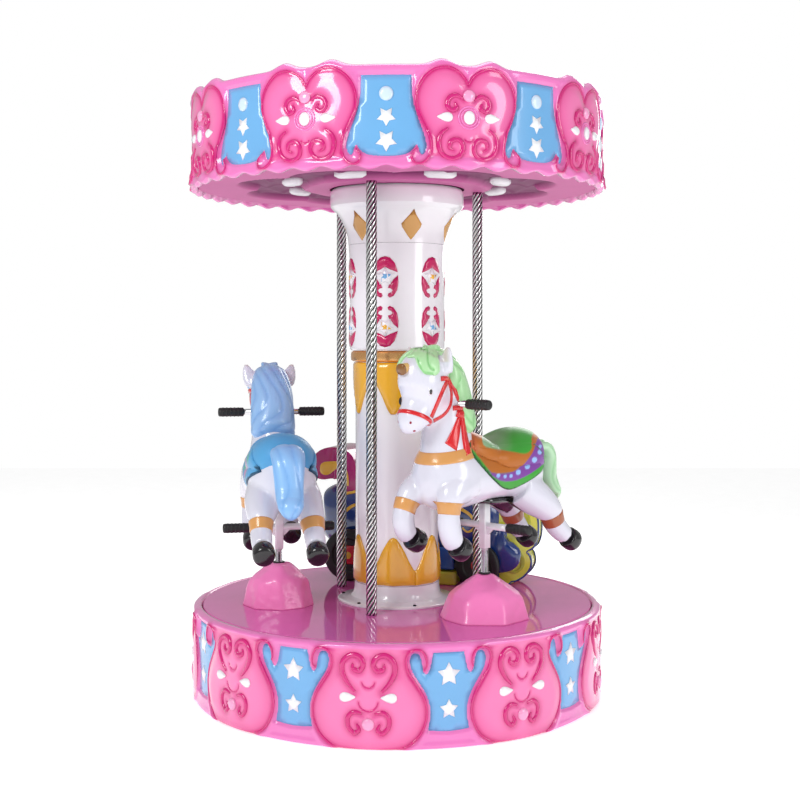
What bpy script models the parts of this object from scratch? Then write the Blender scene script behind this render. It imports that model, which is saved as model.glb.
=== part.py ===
"""Small fairground carousel: a round base, a turntable with a painted column and canopy,
two ponies that rise and fall on rods, and a carriage. Metres, +Z up, origin on the floor
under the column."""

import math

import bmesh
import bpy
from mathutils import Matrix, Vector, noise

# Driving dimensions
BASE_RADIUS = 0.727
BASE_HEIGHT = 0.325
CANOPY_RADIUS = 0.742
CANOPY_BOTTOM = 1.7875
CANOPY_TOP = 2.107
CEILING_BOTTOM = 1.800
RIDE_RADIUS = 0.430
POLE_RADIUS_OF_RING = 0.304
COLUMN_RADIUS = 0.150
DRUM_RADIUS = 0.172

PANELS = 9
SEGMENTS = 3
BASE_PANEL_ANGLE = -97.0
CANOPY_PANEL_ANGLE = -72.6
COLUMN_ORNAMENT_ANGLE = -95.0
COLUMN_ORNAMENTS = 6
POLE_ANGLES = (13.5, 133.5, 253.5)
PONY_ANGLES = {"right_pony": 313.5, "left_pony": 193.5}
PONY_DATUM = {"right_pony": 0.633, "left_pony": 0.597}
PONY_TURN = {"right_pony": 1.5, "left_pony": -2.0}
PONY_PITCH = {"right_pony": 0.0, "left_pony": 6.5}
CARRIAGE_ANGLE = 73.5

GAP = 0.0003
TURNTABLE_GAP = 0.006
FLOOR_OPENING = 0.700
SKIRT_INNER = 0.694
FLOOR_THICKNESS = 0.030
SHIELD_RELIEF = 0.010

PINK = (0.93, 0.24, 0.58)
MAUVE = (0.72, 0.30, 0.52)
WHITE = (0.88, 0.88, 0.90)
GOLD = (0.80, 0.48, 0.16)
YELLOW = (0.98, 0.66, 0.10)
CHROME = (0.80, 0.80, 0.82)
STEEL = (0.30, 0.31, 0.33)
BLACK = (0.02, 0.02, 0.02)
NAVY = (0.02, 0.09, 0.30)
MAGENTA = (0.55, 0.02, 0.28)
LIME = (0.68, 0.70, 0.08)
RED = (0.75, 0.03, 0.05)


# Scene and object helpers

def clear_scene():
    for obj in list(bpy.data.objects):
        bpy.data.objects.remove(obj)


def collection(name, hidden=False):
    made = bpy.data.collections.new(name)
    bpy.context.scene.collection.children.link(made)
    made.hide_render = hidden
    return made


def material(name, colour, roughness=0.25, metallic=0.0):
    made = bpy.data.materials.new(name)
    made.use_nodes = True
    shader = made.node_tree.nodes["Principled BSDF"]
    shader.inputs["Base Color"].default_value = (*colour, 1.0)
    shader.inputs["Roughness"].default_value = roughness
    shader.inputs["Metallic"].default_value = metallic
    made.diffuse_color = (*colour, 1.0)
    return made


def placed(name, data, finish=None):
    """A new object in the carousel's collection, with its finish."""
    obj = bpy.data.objects.new(name, data)
    PARTS.objects.link(obj)
    if finish is not None:
        data.materials.clear()
        data.materials.append(finish)
    return obj


def as_cutter(obj):
    """Moves a helper out of the model: it cuts or joins, and isn't a piece."""
    PARTS.objects.unlink(obj)
    CUTTERS.objects.link(obj)
    obj.hide_render = True
    obj.display_type = "WIRE"
    return obj


def baked(obj):
    """The evaluated shape as a plain mesh object in the same place, with its caps welded."""
    bpy.context.view_layer.update()
    evaluated = obj.evaluated_get(bpy.context.evaluated_depsgraph_get())
    mesh = bpy.data.meshes.new_from_object(evaluated)
    editable = bmesh.new()
    editable.from_mesh(mesh)
    bmesh.ops.remove_doubles(editable, verts=editable.verts, dist=1e-6)
    editable.to_mesh(mesh)
    editable.free()
    name, matrix = obj.name, obj.matrix_world.copy()
    collections = list(obj.users_collection)
    hidden, display = obj.hide_render, obj.display_type
    bpy.data.objects.remove(obj)
    plain = bpy.data.objects.new(name, mesh)
    for home in collections:
        home.objects.link(plain)
    plain.matrix_world = matrix
    plain.hide_render, plain.display_type = hidden, display
    return plain


def cut(target, cutter, operation="DIFFERENCE"):
    modifier = target.modifiers.new(cutter.name, "BOOLEAN")
    modifier.object = cutter
    modifier.operation = operation
    modifier.solver = "EXACT"
    return target


def smooth(obj, angle=40.0):
    obj.data.shade_smooth()
    obj.data.set_sharp_from_angle(angle=math.radians(angle))
    return obj


# Shapes

def turned(name, profile, finish=None, sides=36, ring=False):
    """A profile of (radius, height) points turned about Z, listed down its outer side."""
    mesh = bpy.data.meshes.new(name)
    editable = bmesh.new()
    points = [editable.verts.new((radius, 0.0, height)) for radius, height in profile]
    for first, second in zip(points, points[1:]):
        editable.edges.new((first, second))
    if ring:
        editable.edges.new((points[-1], points[0]))
    editable.to_mesh(mesh)
    editable.free()
    obj = placed(name, mesh, finish)
    screw = obj.modifiers.new("turn", "SCREW")
    screw.axis = "Z"
    screw.steps = screw.render_steps = sides
    screw.use_merge_vertices = True
    screw.merge_threshold = 0.00001
    screw.use_smooth_shade = True
    return obj


def cylinder(name, radius, low, high, finish=None, sides=24):
    """An upright cylinder about Z from height low to height high."""
    mesh = bpy.data.meshes.new(name)
    editable = bmesh.new()
    bmesh.ops.create_cone(
        editable,
        cap_ends=True,
        segments=sides,
        radius1=radius,
        radius2=radius,
        depth=high - low,
        matrix=Matrix.Translation((0.0, 0.0, (low + high) / 2)),
    )
    editable.to_mesh(mesh)
    editable.free()
    return placed(name, mesh, finish)


def block(name, low, high, finish=None):
    """A box between two corners."""
    mesh = bpy.data.meshes.new(name)
    editable = bmesh.new()
    middle = (Vector(low) + Vector(high)) / 2
    size = Vector(high) - Vector(low)
    place = Matrix.Translation(middle) @ Matrix.Diagonal((*size, 1.0))
    bmesh.ops.create_cube(editable, size=1.0, matrix=place)
    editable.to_mesh(mesh)
    editable.free()
    return placed(name, mesh, finish)


def plate(name, outline, thickness, finish=None):
    """A flat outline in XY, extruded evenly about Z = 0."""
    curve = bpy.data.curves.new(name, "CURVE")
    curve.dimensions = "2D"
    curve.fill_mode = "BOTH"
    curve.extrude = thickness / 2
    spline = curve.splines.new("POLY")
    spline.points.add(len(outline) - 1)
    for point, (x, y) in zip(spline.points, outline):
        point.co = (x, y, 0.0, 1.0)
    spline.use_cyclic_u = True
    obj = placed(name, curve, finish)
    return obj


def loft(name, stations, sides=12, finish=None, power=2.0):
    """A closed form through cross-sections along a path. Each station is
    (forward, side, up, half width, half depth); the width lies along the side axis."""
    mesh = bpy.data.meshes.new(name)
    editable = bmesh.new()
    centres = [Vector(station[:3]) for station in stations]
    rings = []
    for index, station in enumerate(stations):
        after = centres[min(index + 1, len(centres) - 1)]
        before = centres[max(index - 1, 0)]
        along = (after - before).normalized()
        side = Vector((0.0, 1.0, 0.0))
        side = (side - along * side.dot(along)).normalized()
        across = along.cross(side)
        ring = []
        for corner in range(sides):
            angle = 2 * math.pi * corner / sides
            cosine, sine = math.cos(angle), math.sin(angle)
            wide = math.copysign(abs(cosine) ** (2 / power), cosine) * station[3]
            deep = math.copysign(abs(sine) ** (2 / power), sine) * station[4]
            ring.append(editable.verts.new(centres[index] + side * wide + across * deep))
        rings.append(ring)
    for first, second in zip(rings, rings[1:]):
        for corner in range(sides):
            beyond = (corner + 1) % sides
            editable.faces.new((first[corner], first[beyond], second[beyond], second[corner]))
    editable.faces.new(list(reversed(rings[0])))
    editable.faces.new(rings[-1])
    bmesh.ops.recalc_face_normals(editable, faces=editable.faces)
    editable.to_mesh(mesh)
    editable.free()
    return placed(name, mesh, finish)


def joined(name, pieces, finish):
    """One body from overlapping pieces."""
    base = pieces[0]
    helpers = []
    for piece in pieces[1:]:
        as_cutter(piece)
        cut(base, piece, "UNION")
        helpers.append(piece)
    base = baked(base)
    base.name = name
    base.data.materials.clear()
    base.data.materials.append(finish)
    for helper in helpers:
        bpy.data.objects.remove(helper)
    return base


def spun(obj, angle):
    """Turns a piece about the carousel's axis, by an angle in degrees."""
    obj.rotation_euler = (0.0, 0.0, math.radians(angle))
    return obj


# Base and canopy rings: smooth bands with a raised shield on every panel

SHIELD_HALF = (
    (0.000, 0.318), (0.045, 0.332), (0.095, 0.343), (0.138, 0.328), (0.167, 0.292),
    (0.177, 0.248), (0.168, 0.200), (0.150, 0.150), (0.137, 0.105), (0.142, 0.070),
    (0.165, 0.062), (0.180, 0.090), (0.200, 0.086), (0.203, 0.050), (0.180, 0.024),
    (0.130, 0.010), (0.060, 0.004), (0.000, 0.004),
)


def shield_outline():
    """The closed heart-shaped outline, from its two halves."""
    right = list(SHIELD_HALF)
    left = [(-side, height) for side, height in reversed(right[1:-1])]
    return right + left


def shield(name, inner, outer, angle, bottom, height_scale):
    """A shield that follows the ring's curve, between two radii. A negative height scale
    hangs it upside down from its bottom height."""
    outline = [(side, bottom + height * height_scale) for side, height in shield_outline()]
    if height_scale < 0:
        outline.reverse()
    upright = plate(name, outline, outer)
    upright.rotation_euler = (math.radians(90), 0.0, math.radians(90 + angle))
    direction = Vector((math.cos(math.radians(angle)), math.sin(math.radians(angle)), 0.0))
    upright.location = direction * outer
    upright = as_cutter(baked(upright))
    heights = [height for _, height in outline]
    low, high = min(heights) - 0.01, max(heights) + 0.01
    shell = turned(
        name + "_shell",
        ((outer, high), (outer, low), (inner, low), (inner, high)),
        sides=72,
        ring=True,
    )
    shell = cut(shell, upright, "INTERSECT")
    made = baked(shell)
    bpy.data.objects.remove(upright)
    return as_cutter(made)


def wedge(name, start, sweep, low, high):
    """A cutter that keeps one sector of a ring, less half the gap on each side."""
    middle = math.radians(start + sweep / 2)
    inset = GAP / 2 / math.sin(math.radians(sweep / 2))
    apex = (math.cos(middle) * inset, math.sin(middle) * inset)
    reach = 2.0
    steps = 6
    outline = [apex]
    for step in range(steps + 1):
        angle = math.radians(start + sweep * step / steps)
        outline.append((apex[0] + reach * math.cos(angle), apex[1] + reach * math.sin(angle)))
    made = plate(name, outline, high - low)
    made.location.z = (low + high) / 2
    return as_cutter(baked(made))


def ring_segments(name, profile, shield_inner, shield_outer, first, bottom, scale, finish):
    """The ring in three alike segments, each with three shields, cut at panel middles."""
    step = 360.0 / PANELS
    ring = turned(name, profile, finish, sides=72, ring=True)
    for index in range(PANELS // SEGMENTS):
        angle = first + index * step
        raised = shield(f"{name}_shield_{index}", shield_inner, shield_outer, angle, bottom, scale)
        cut(ring, raised, "UNION")
    heights = [height for _, height in profile]
    sweep = 360.0 / SEGMENTS
    sector = wedge(name + "_sector", first - step / 2, sweep, min(heights) - 0.1, max(heights) + 0.1)
    cut(ring, sector, "INTERSECT")
    ring = baked(ring)
    mesh = ring.data
    bpy.data.objects.remove(ring)
    made = []
    for index in range(SEGMENTS):
        made.append(spun(placed(f"{name}_{index + 1}", mesh, finish), index * sweep))
        smooth(made[-1])
    return made


def base_skirt():
    field = BASE_RADIUS - 0.011
    lip = FLOOR_OPENING
    profile = (
        (lip, BASE_HEIGHT), (BASE_RADIUS - 0.014, BASE_HEIGHT), (BASE_RADIUS - 0.003, 0.319),
        (BASE_RADIUS, 0.308), (BASE_RADIUS, 0.286), (field, 0.282), (field, 0.050),
        (BASE_RADIUS, 0.046), (BASE_RADIUS, 0.0), (SKIRT_INNER, 0.0), (SKIRT_INNER, 0.262),
        (lip, 0.272),
    )
    return ring_segments(
        "base_skirt", profile, SKIRT_INNER + 0.008, BASE_RADIUS + SHIELD_RELIEF,
        BASE_PANEL_ANGLE, 0.318, -0.92, FINISH["pink"],
    )


def canopy_valance():
    field = CANOPY_RADIUS - 0.011
    inner = 0.715
    profile = (
        (inner, CANOPY_TOP), (CANOPY_RADIUS - 0.005, CANOPY_TOP), (CANOPY_RADIUS, CANOPY_TOP - 0.008),
        (CANOPY_RADIUS, 2.076), (field, 2.072), (field, 1.842), (CANOPY_RADIUS, 1.838),
        (CANOPY_RADIUS, CANOPY_BOTTOM + 0.008), (CANOPY_RADIUS - 0.005, CANOPY_BOTTOM),
        (inner, CANOPY_BOTTOM),
    )
    return ring_segments(
        "canopy_valance", profile, inner + 0.002, CANOPY_RADIUS + SHIELD_RELIEF,
        CANOPY_PANEL_ANGLE, CANOPY_BOTTOM, 1.0, FINISH["pink"],
    )


# Frame under the base, and the bearing that carries the turntable

BEAM_WIDTH = 0.050
BEAM_HEIGHT = 0.050
BEAM_REACH = SKIRT_INNER - 0.0014
HUB_BOTTOM = BASE_HEIGHT - FLOOR_THICKNESS - GAP - 0.012
SPINDLE_RADIUS = 0.0300


def chassis():
    """Three crossed beams and a centre plate, lying on the floor."""
    beams = []
    for index in range(3):
        beam = block(
            f"beam_{index}",
            (-BEAM_REACH, -BEAM_WIDTH / 2, 0.0),
            (BEAM_REACH, BEAM_WIDTH / 2, BEAM_HEIGHT),
        )
        beams.append(spun(beam, 60.0 * index + 30.0))
    centre = cylinder("centre_plate", 0.110, BEAM_HEIGHT - 0.012, BEAM_HEIGHT + 0.008, sides=24)
    return joined("chassis_frame", [centre] + beams, FINISH["steel"])


def bearing():
    """A round housing on the frame, with the spindle's bore."""
    bottom, top = BEAM_HEIGHT + 0.008 + GAP, HUB_BOTTOM - GAP
    bore = SPINDLE_RADIUS + 0.0006
    profile = (
        (bore, top), (0.060, top), (0.060, bottom + 0.020), (0.095, bottom + 0.012),
        (0.095, bottom), (bore, bottom),
    )
    return turned("bearing_housing", profile, FINISH["steel"], sides=24, ring=True)


def turntable_hub():
    """A flange under the floor, and the spindle that turns in the housing."""
    profile = (
        (0.0, HUB_BOTTOM + 0.012), (0.130, HUB_BOTTOM + 0.012), (0.130, HUB_BOTTOM),
        (SPINDLE_RADIUS, HUB_BOTTOM), (SPINDLE_RADIUS, 0.085), (0.0, 0.085),
    )
    return turned("turntable_hub", profile, FINISH["steel"], sides=24)


def pony_place(name):
    """The pony's frame: forward is +X, its left +Y, and Z counts up from its footrest."""
    angle = math.radians(PONY_ANGLES[name])
    spot = Matrix.Translation(
        (RIDE_RADIUS * math.cos(angle), RIDE_RADIUS * math.sin(angle), PONY_DATUM[name])
    )
    heading = angle - math.pi / 2 + math.radians(PONY_TURN[name])
    return spot @ Matrix.Rotation(heading, 4, "Z")


def turntable_floor():
    radius = FLOOR_OPENING - TURNTABLE_GAP
    bottom = BASE_HEIGHT - FLOOR_THICKNESS
    floor = turned(
        "turntable_floor",
        (
            (0.0, BASE_HEIGHT), (radius - 0.003, BASE_HEIGHT), (radius, BASE_HEIGHT - 0.003),
            (radius, bottom), (0.0, bottom),
        ),
        FINISH["mauve"],
        sides=72,
    )
    for name in PONY_ANGLES:
        hole = as_cutter(cylinder(name + "_floor_hole", ROD_BORE, bottom - 0.05, BASE_HEIGHT + 0.05, sides=16))
        place = pony_place(name)
        hole.location = (place.translation.x, place.translation.y, 0.0)
        cut(floor, hole)
    return floor


# Column

FOOT_TOP = 0.393
RING_BOTTOM = 1.182
RING_TOP = 1.221
DRUM_TOP = 1.600
ORNAMENT_THICKNESS = 0.009


def column():
    turned(
        "column_foot",
        (
            (0.0, FOOT_TOP), (0.153, FOOT_TOP), (0.154, 0.362), (0.160, 0.347), (0.176, 0.337),
            (0.205, 0.335), (0.213, 0.332), (0.213, BASE_HEIGHT + GAP), (0.0, BASE_HEIGHT + GAP),
        ),
        FINISH["white"],
    )
    turned(
        "column_shaft",
        (
            (0.0, RING_BOTTOM - GAP), (COLUMN_RADIUS, RING_BOTTOM - GAP),
            (COLUMN_RADIUS, FOOT_TOP + GAP), (0.0, FOOT_TOP + GAP),
        ),
        FINISH["white"],
    )
    turned(
        "column_gold_ring",
        (
            (0.0, RING_TOP - GAP), (0.160, RING_TOP - GAP), (0.167, RING_TOP - 0.010),
            (0.167, RING_BOTTOM + 0.010), (0.160, RING_BOTTOM), (0.0, RING_BOTTOM),
        ),
        FINISH["gold"],
    )
    turned(
        "column_drum",
        (
            (0.0, DRUM_TOP - GAP), (DRUM_RADIUS + 0.003, DRUM_TOP - GAP), (DRUM_RADIUS, 1.550),
            (DRUM_RADIUS - 0.002, 1.400), (DRUM_RADIUS, RING_TOP + 0.006),
            (DRUM_RADIUS - 0.006, RING_TOP), (0.0, RING_TOP),
        ),
        FINISH["white"],
    )
    turned(
        "column_capital",
        (
            (0.0, CEILING_BOTTOM - GAP), (0.236, CEILING_BOTTOM - GAP), (0.242, 1.788),
            (0.242, 1.744), (0.234, 1.731), (0.222, 1.722), (0.203, 1.695), (0.187, 1.662),
            (0.178, 1.630), (DRUM_RADIUS + 0.003, DRUM_TOP), (0.0, DRUM_TOP),
        ),
        FINISH["white"],
    )


def wrapped_ornament(name, flat_edge, tip, notch, finish, pointed_down):
    """A thin raised band round the shaft with six points, as an open sheet made solid."""
    steps = 8
    columns = COLUMN_ORNAMENTS * steps
    mesh = bpy.data.meshes.new(name)
    editable = bmesh.new()
    rows = []
    for index in range(columns):
        angle = math.radians(COLUMN_ORNAMENT_ANGLE + index * 360.0 / columns)
        share = abs((index % steps) - steps * round((index % steps) / steps)) / (steps / 2)
        if pointed_down:
            edge = tip + (notch - tip) * math.sin(share * math.pi / 2)
        else:
            edge = notch + (tip - notch) * math.cos(share * math.pi / 2) ** 0.8
        radius = COLUMN_RADIUS + GAP
        x, y = radius * math.cos(angle), radius * math.sin(angle)
        low, high = min(edge, flat_edge), max(edge, flat_edge)
        rows.append((editable.verts.new((x, y, low)), editable.verts.new((x, y, high))))
    for index in range(columns):
        first, second = rows[index], rows[(index + 1) % columns]
        editable.faces.new((first[0], second[0], second[1], first[1]))
    editable.to_mesh(mesh)
    editable.free()
    obj = placed(name, mesh, finish)
    solid = obj.modifiers.new("thickness", "SOLIDIFY")
    solid.thickness = ORNAMENT_THICKNESS
    solid.offset = 1.0
    return obj


def column_ornaments():
    wrapped_ornament("column_swags", RING_BOTTOM - GAP, 1.000, 1.110, FINISH["yellow"], True)
    wrapped_ornament("column_petals", FOOT_TOP + GAP, 0.566, 0.446, FINISH["yellow"], False)


# Canopy plates and poles

POLE_RADIUS = 0.019
CEILING_THICKNESS = 0.012
CEILING_RADIUS = 0.715 - GAP


def canopy_plates():
    top = CEILING_BOTTOM + CEILING_THICKNESS
    turned(
        "canopy_ceiling",
        ((0.0, top), (CEILING_RADIUS, top), (CEILING_RADIUS, CEILING_BOTTOM), (0.0, CEILING_BOTTOM)),
        FINISH["mauve"],
        sides=72,
    )
    outer = [(0.0, 2.178), (0.10, 2.166), (0.40, 2.126), (CEILING_RADIUS, 2.090)]
    inner = [(radius, height - 0.010) for radius, height in reversed(outer)]
    turned("canopy_roof", outer + inner, FINISH["pink"], sides=72)


def poles():
    for index, angle in enumerate(POLE_ANGLES):
        pole = cylinder(
            f"pole_{index + 1}", POLE_RADIUS, BASE_HEIGHT + GAP, CEILING_BOTTOM - GAP,
            FINISH["chrome"], sides=16,
        )
        turn = math.radians(angle)
        pole.location = (
            POLE_RADIUS_OF_RING * math.cos(turn), POLE_RADIUS_OF_RING * math.sin(turn), 0.0,
        )
        smooth(pole)


# Rocks and ponies

ROCK_RADIUS = 0.140
ROCK_TOP = 0.472
ROD_RADIUS = 0.0125
ROD_BORE = 0.0132
ROD_BOTTOM = 0.200
SLEEVE_HALF = 0.015
SLEEVE_BOTTOM = -0.076
SLEEVE_TOP = 0.130
BAR_HALF_LENGTH = 0.198
BAR_RADIUS = 0.0115
GRIP_RADIUS = 0.0165
GRIP_START = 0.104
HANDLEBAR = (0.200, 0.0, 0.420)


def rock(name, pony):
    """A faceted boulder on the turntable, bored for the pony's rod."""
    bpy.ops.mesh.primitive_ico_sphere_add(subdivisions=3, radius=1.0)
    obj = bpy.context.object
    obj.name = name
    for home in list(obj.users_collection):
        home.objects.unlink(obj)
    PARTS.objects.link(obj)
    obj.data.materials.append(FINISH["pink"])
    tall = ROCK_TOP - BASE_HEIGHT
    offset = Vector((PONY_ANGLES[pony], 0.0, 0.0))
    for vertex in obj.data.vertices:
        way = vertex.co.normalized()
        rough = 1.0 + 0.10 * noise.noise(way * 1.9 + offset)
        wide = 1.0 if abs(way.z) < 0.97 else 0.9
        vertex.co = Vector(
            (way.x * ROCK_RADIUS * rough * wide, way.y * ROCK_RADIUS * rough * wide, way.z * tall * rough)
        )
    top = max(vertex.co.z for vertex in obj.data.vertices)
    for vertex in obj.data.vertices:
        vertex.co.z *= (tall - 0.001) / top
    place = pony_place(pony).translation
    obj.location = (place.x, place.y, BASE_HEIGHT)
    below = as_cutter(block(name + "_below", (-0.3, -0.3, -0.4), (0.3, 0.3, GAP)))
    below.location = obj.location
    bore = as_cutter(cylinder(name + "_bore", ROD_BORE, -0.05, 0.3, sides=16))
    bore.location = obj.location
    cut(obj, below)
    cut(obj, bore)
    return obj


def handle_tube(name, centre):
    """A cross tube with a grip at each end, lying along the pony's side axis."""
    end = BAR_HALF_LENGTH
    profile = (
        (0.0, end), (GRIP_RADIUS - 0.004, end), (GRIP_RADIUS, end - 0.005), (GRIP_RADIUS, GRIP_START),
        (BAR_RADIUS, GRIP_START), (BAR_RADIUS, -GRIP_START), (GRIP_RADIUS, -GRIP_START),
        (GRIP_RADIUS, 0.005 - end), (GRIP_RADIUS - 0.004, -end), (0.0, -end),
    )
    tube = turned(name, profile, FINISH["black"], sides=12)
    tube.matrix_world = Matrix.Translation(centre) @ Matrix.Rotation(math.radians(-90), 4, "X")
    return baked(tube)


PONY_TORSO = (
    (-0.300, 0.0, 0.152, 0.040, 0.046), (-0.284, 0.0, 0.154, 0.084, 0.086),
    (-0.235, 0.0, 0.160, 0.122, 0.114), (-0.165, 0.0, 0.168, 0.127, 0.110),
    (-0.070, 0.0, 0.174, 0.114, 0.095), (0.020, 0.0, 0.174, 0.110, 0.093),
    (0.110, 0.0, 0.176, 0.114, 0.104), (0.190, 0.0, 0.184, 0.117, 0.118),
    (0.245, 0.0, 0.191, 0.100, 0.108), (0.282, 0.0, 0.198, 0.066, 0.074),
    (0.298, 0.0, 0.200, 0.028, 0.034),
)
PONY_NECK = (
    (0.160, 0.0, 0.160, 0.080, 0.070), (0.175, 0.0, 0.215, 0.097, 0.104),
    (0.187, 0.0, 0.275, 0.084, 0.096), (0.192, 0.0, 0.330, 0.075, 0.088),
    (0.198, 0.0, 0.400, 0.071, 0.080), (0.208, 0.0, 0.460, 0.067, 0.074),
    (0.222, 0.0, 0.515, 0.056, 0.062),
)
PONY_HEAD = (
    (0.262, 0.0, 0.586, 0.022, 0.022), (0.268, 0.0, 0.578, 0.044, 0.046),
    (0.283, 0.0, 0.554, 0.066, 0.078), (0.294, 0.0, 0.520, 0.074, 0.094),
    (0.297, 0.0, 0.455, 0.069, 0.087), (0.307, 0.0, 0.426, 0.059, 0.072),
    (0.325, 0.0, 0.400, 0.053, 0.060), (0.341, 0.0, 0.374, 0.053, 0.057),
    (0.343, 0.0, 0.353, 0.045, 0.049), (0.337, 0.0, 0.338, 0.026, 0.028),
)
PONY_JAW = (
    (0.215, 0.0, 0.470, 0.040, 0.040), (0.240, 0.0, 0.445, 0.062, 0.060),
    (0.268, 0.0, 0.415, 0.062, 0.058), (0.300, 0.0, 0.390, 0.050, 0.042),
    (0.320, 0.0, 0.372, 0.030, 0.026),
)
PONY_TAIL = (
    (-0.235, 0.0, 0.235, 0.030, 0.020), (-0.268, 0.0, 0.258, 0.050, 0.024),
    (-0.306, 0.0, 0.250, 0.056, 0.026), (-0.330, 0.0, 0.212, 0.054, 0.027),
    (-0.338, 0.0, 0.165, 0.050, 0.027), (-0.345, 0.0, 0.122, 0.047, 0.028),
    (-0.366, 0.0, 0.092, 0.044, 0.027), (-0.376, 0.0, 0.065, 0.030, 0.018),
)
PONY_MANE = (
    (0.292, 0.0, 0.566, 0.036, 0.020), (0.264, 0.0, 0.572, 0.052, 0.032),
    (0.234, 0.0, 0.552, 0.062, 0.046), (0.212, 0.0, 0.520, 0.070, 0.056),
    (0.188, 0.0, 0.440, 0.077, 0.064), (0.170, 0.0, 0.355, 0.076, 0.058),
    (0.150, 0.0, 0.300, 0.064, 0.038),
)
PONY_SEAT = (
    (0.050, 0.0, 0.256, 0.030, 0.010), (0.030, 0.0, 0.257, 0.058, 0.018),
    (-0.010, 0.0, 0.258, 0.082, 0.026), (-0.060, 0.0, 0.264, 0.098, 0.036),
    (-0.120, 0.0, 0.268, 0.106, 0.045), (-0.170, 0.0, 0.268, 0.106, 0.047),
    (-0.215, 0.0, 0.260, 0.092, 0.044), (-0.248, 0.0, 0.248, 0.066, 0.034),
    (-0.264, 0.0, 0.240, 0.030, 0.018),
)
PONY_POMMEL = (
    (0.010, 0.0, 0.250, 0.060, 0.020), (0.045, 0.0, 0.256, 0.080, 0.030),
    (0.085, 0.0, 0.268, 0.088, 0.042), (0.120, 0.0, 0.280, 0.086, 0.050),
    (0.150, 0.0, 0.286, 0.078, 0.048),
)
LEFT_FORELEG = (
    (0.170, 0.058, 0.165, 0.060, 0.066), (0.220, 0.066, 0.142, 0.052, 0.056),
    (0.249, 0.072, 0.116, 0.045, 0.047), (0.257, 0.074, 0.088, 0.037, 0.039),
    (0.254, 0.074, 0.022, 0.037, 0.038), (0.230, 0.074, -0.030, 0.036, 0.037),
    (0.206, 0.074, -0.046, 0.037, 0.038), (0.181, 0.074, -0.063, 0.032, 0.033),
)
RIGHT_FORELEG = (
    (0.178, -0.058, 0.165, 0.060, 0.066), (0.238, -0.066, 0.142, 0.052, 0.055),
    (0.282, -0.072, 0.118, 0.044, 0.045), (0.307, -0.074, 0.086, 0.037, 0.038),
    (0.316, -0.074, 0.046, 0.035, 0.036), (0.309, -0.074, 0.012, 0.035, 0.036),
    (0.291, -0.074, -0.012, 0.036, 0.037), (0.262, -0.074, -0.028, 0.037, 0.038),
    (0.235, -0.074, -0.043, 0.032, 0.033),
)
LEFT_HINDLEG = (
    (-0.195, 0.066, 0.150, 0.072, 0.088), (-0.226, 0.078, 0.100, 0.065, 0.074),
    (-0.250, 0.086, 0.050, 0.053, 0.057), (-0.270, 0.089, -0.006, 0.037, 0.038),
    (-0.293, 0.090, -0.036, 0.035, 0.035), (-0.322, 0.090, -0.056, 0.036, 0.037),
    (-0.352, 0.090, -0.073, 0.037, 0.038), (-0.378, 0.090, -0.088, 0.032, 0.033),
)
RIGHT_HINDLEG = (
    (-0.190, -0.066, 0.150, 0.070, 0.084), (-0.218, -0.078, 0.098, 0.060, 0.068),
    (-0.240, -0.086, 0.048, 0.048, 0.050), (-0.265, -0.089, -0.012, 0.036, 0.037),
    (-0.284, -0.090, -0.040, 0.035, 0.035), (-0.304, -0.090, -0.060, 0.036, 0.037),
    (-0.332, -0.090, -0.079, 0.037, 0.038), (-0.357, -0.090, -0.096, 0.032, 0.033),
)
EAR_ROOT, EAR_TIP = (0.262, 0.060, 0.520), (0.277, 0.089, 0.612)
HORN_ROOT, HORN_TIP = (0.345, 0.0, 0.532), (0.405, 0.0, 0.556)


def spike(name, root, tip, radius, flat=1.0):
    """A pointed cone from a root to a tip, such as an ear or the horn."""
    root, tip = Vector(root), Vector(tip)
    length = (tip - root).length
    mesh = bpy.data.meshes.new(name)
    editable = bmesh.new()
    bmesh.ops.create_cone(
        editable, cap_ends=True, segments=8, radius1=radius, radius2=radius * 0.25, depth=length,
        matrix=Matrix.Translation((0.0, 0.0, length / 2)),
    )
    editable.to_mesh(mesh)
    editable.free()
    obj = placed(name, mesh)
    turn = (tip - root).to_track_quat("Z", "X").to_matrix().to_4x4()
    obj.matrix_world = Matrix.Translation(root) @ turn @ Matrix.Diagonal((flat, 1.0, 1.0, 1.0))
    return baked(obj)


def pony_body_mesh(pitch):
    """The moulded pony, nose down by the pitch: body, head, legs, mane, tail and saddle in one."""
    right_root, right_tip = [(x, -y, z) for x, y, z in (EAR_ROOT, EAR_TIP)]
    pieces = [
        loft("torso", PONY_TORSO, 14),
        loft("neck", PONY_NECK, 12),
        loft("head", PONY_HEAD, 12),
        loft("jaw", PONY_JAW, 10),
        loft("mane", PONY_MANE, 10),
        loft("tail", PONY_TAIL, 8),
        loft("seat", PONY_SEAT, 14),
        loft("pommel", PONY_POMMEL, 12),
        loft("foreleg_left", LEFT_FORELEG, 10),
        loft("foreleg_right", RIGHT_FORELEG, 10),
        loft("hindleg_left", LEFT_HINDLEG, 10),
        loft("hindleg_right", RIGHT_HINDLEG, 10),
        spike("ear_left", EAR_ROOT, EAR_TIP, 0.026, 0.6),
        spike("ear_right", right_root, right_tip, 0.026, 0.6),
        spike("horn", HORN_ROOT, HORN_TIP, 0.020),
    ]
    body = joined("pony_body", pieces, FINISH["white"])
    body.data.transform(nose_down(pitch))
    bar = as_cutter(cylinder("bar_hole", BAR_RADIUS + GAP, -0.15, 0.15, sides=16))
    bar.matrix_world = (
        nose_down(pitch) @ Matrix.Translation(HANDLEBAR) @ Matrix.Rotation(math.radians(90), 4, "X")
    )
    half = SLEEVE_HALF + GAP
    pocket = as_cutter(block("sleeve_pocket", (-half, -half, -0.1), (half, half, SLEEVE_TOP + GAP)))
    cut(body, bar)
    cut(body, pocket)
    body = baked(body)
    mesh = body.data
    bpy.data.objects.remove(body)
    return mesh


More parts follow.
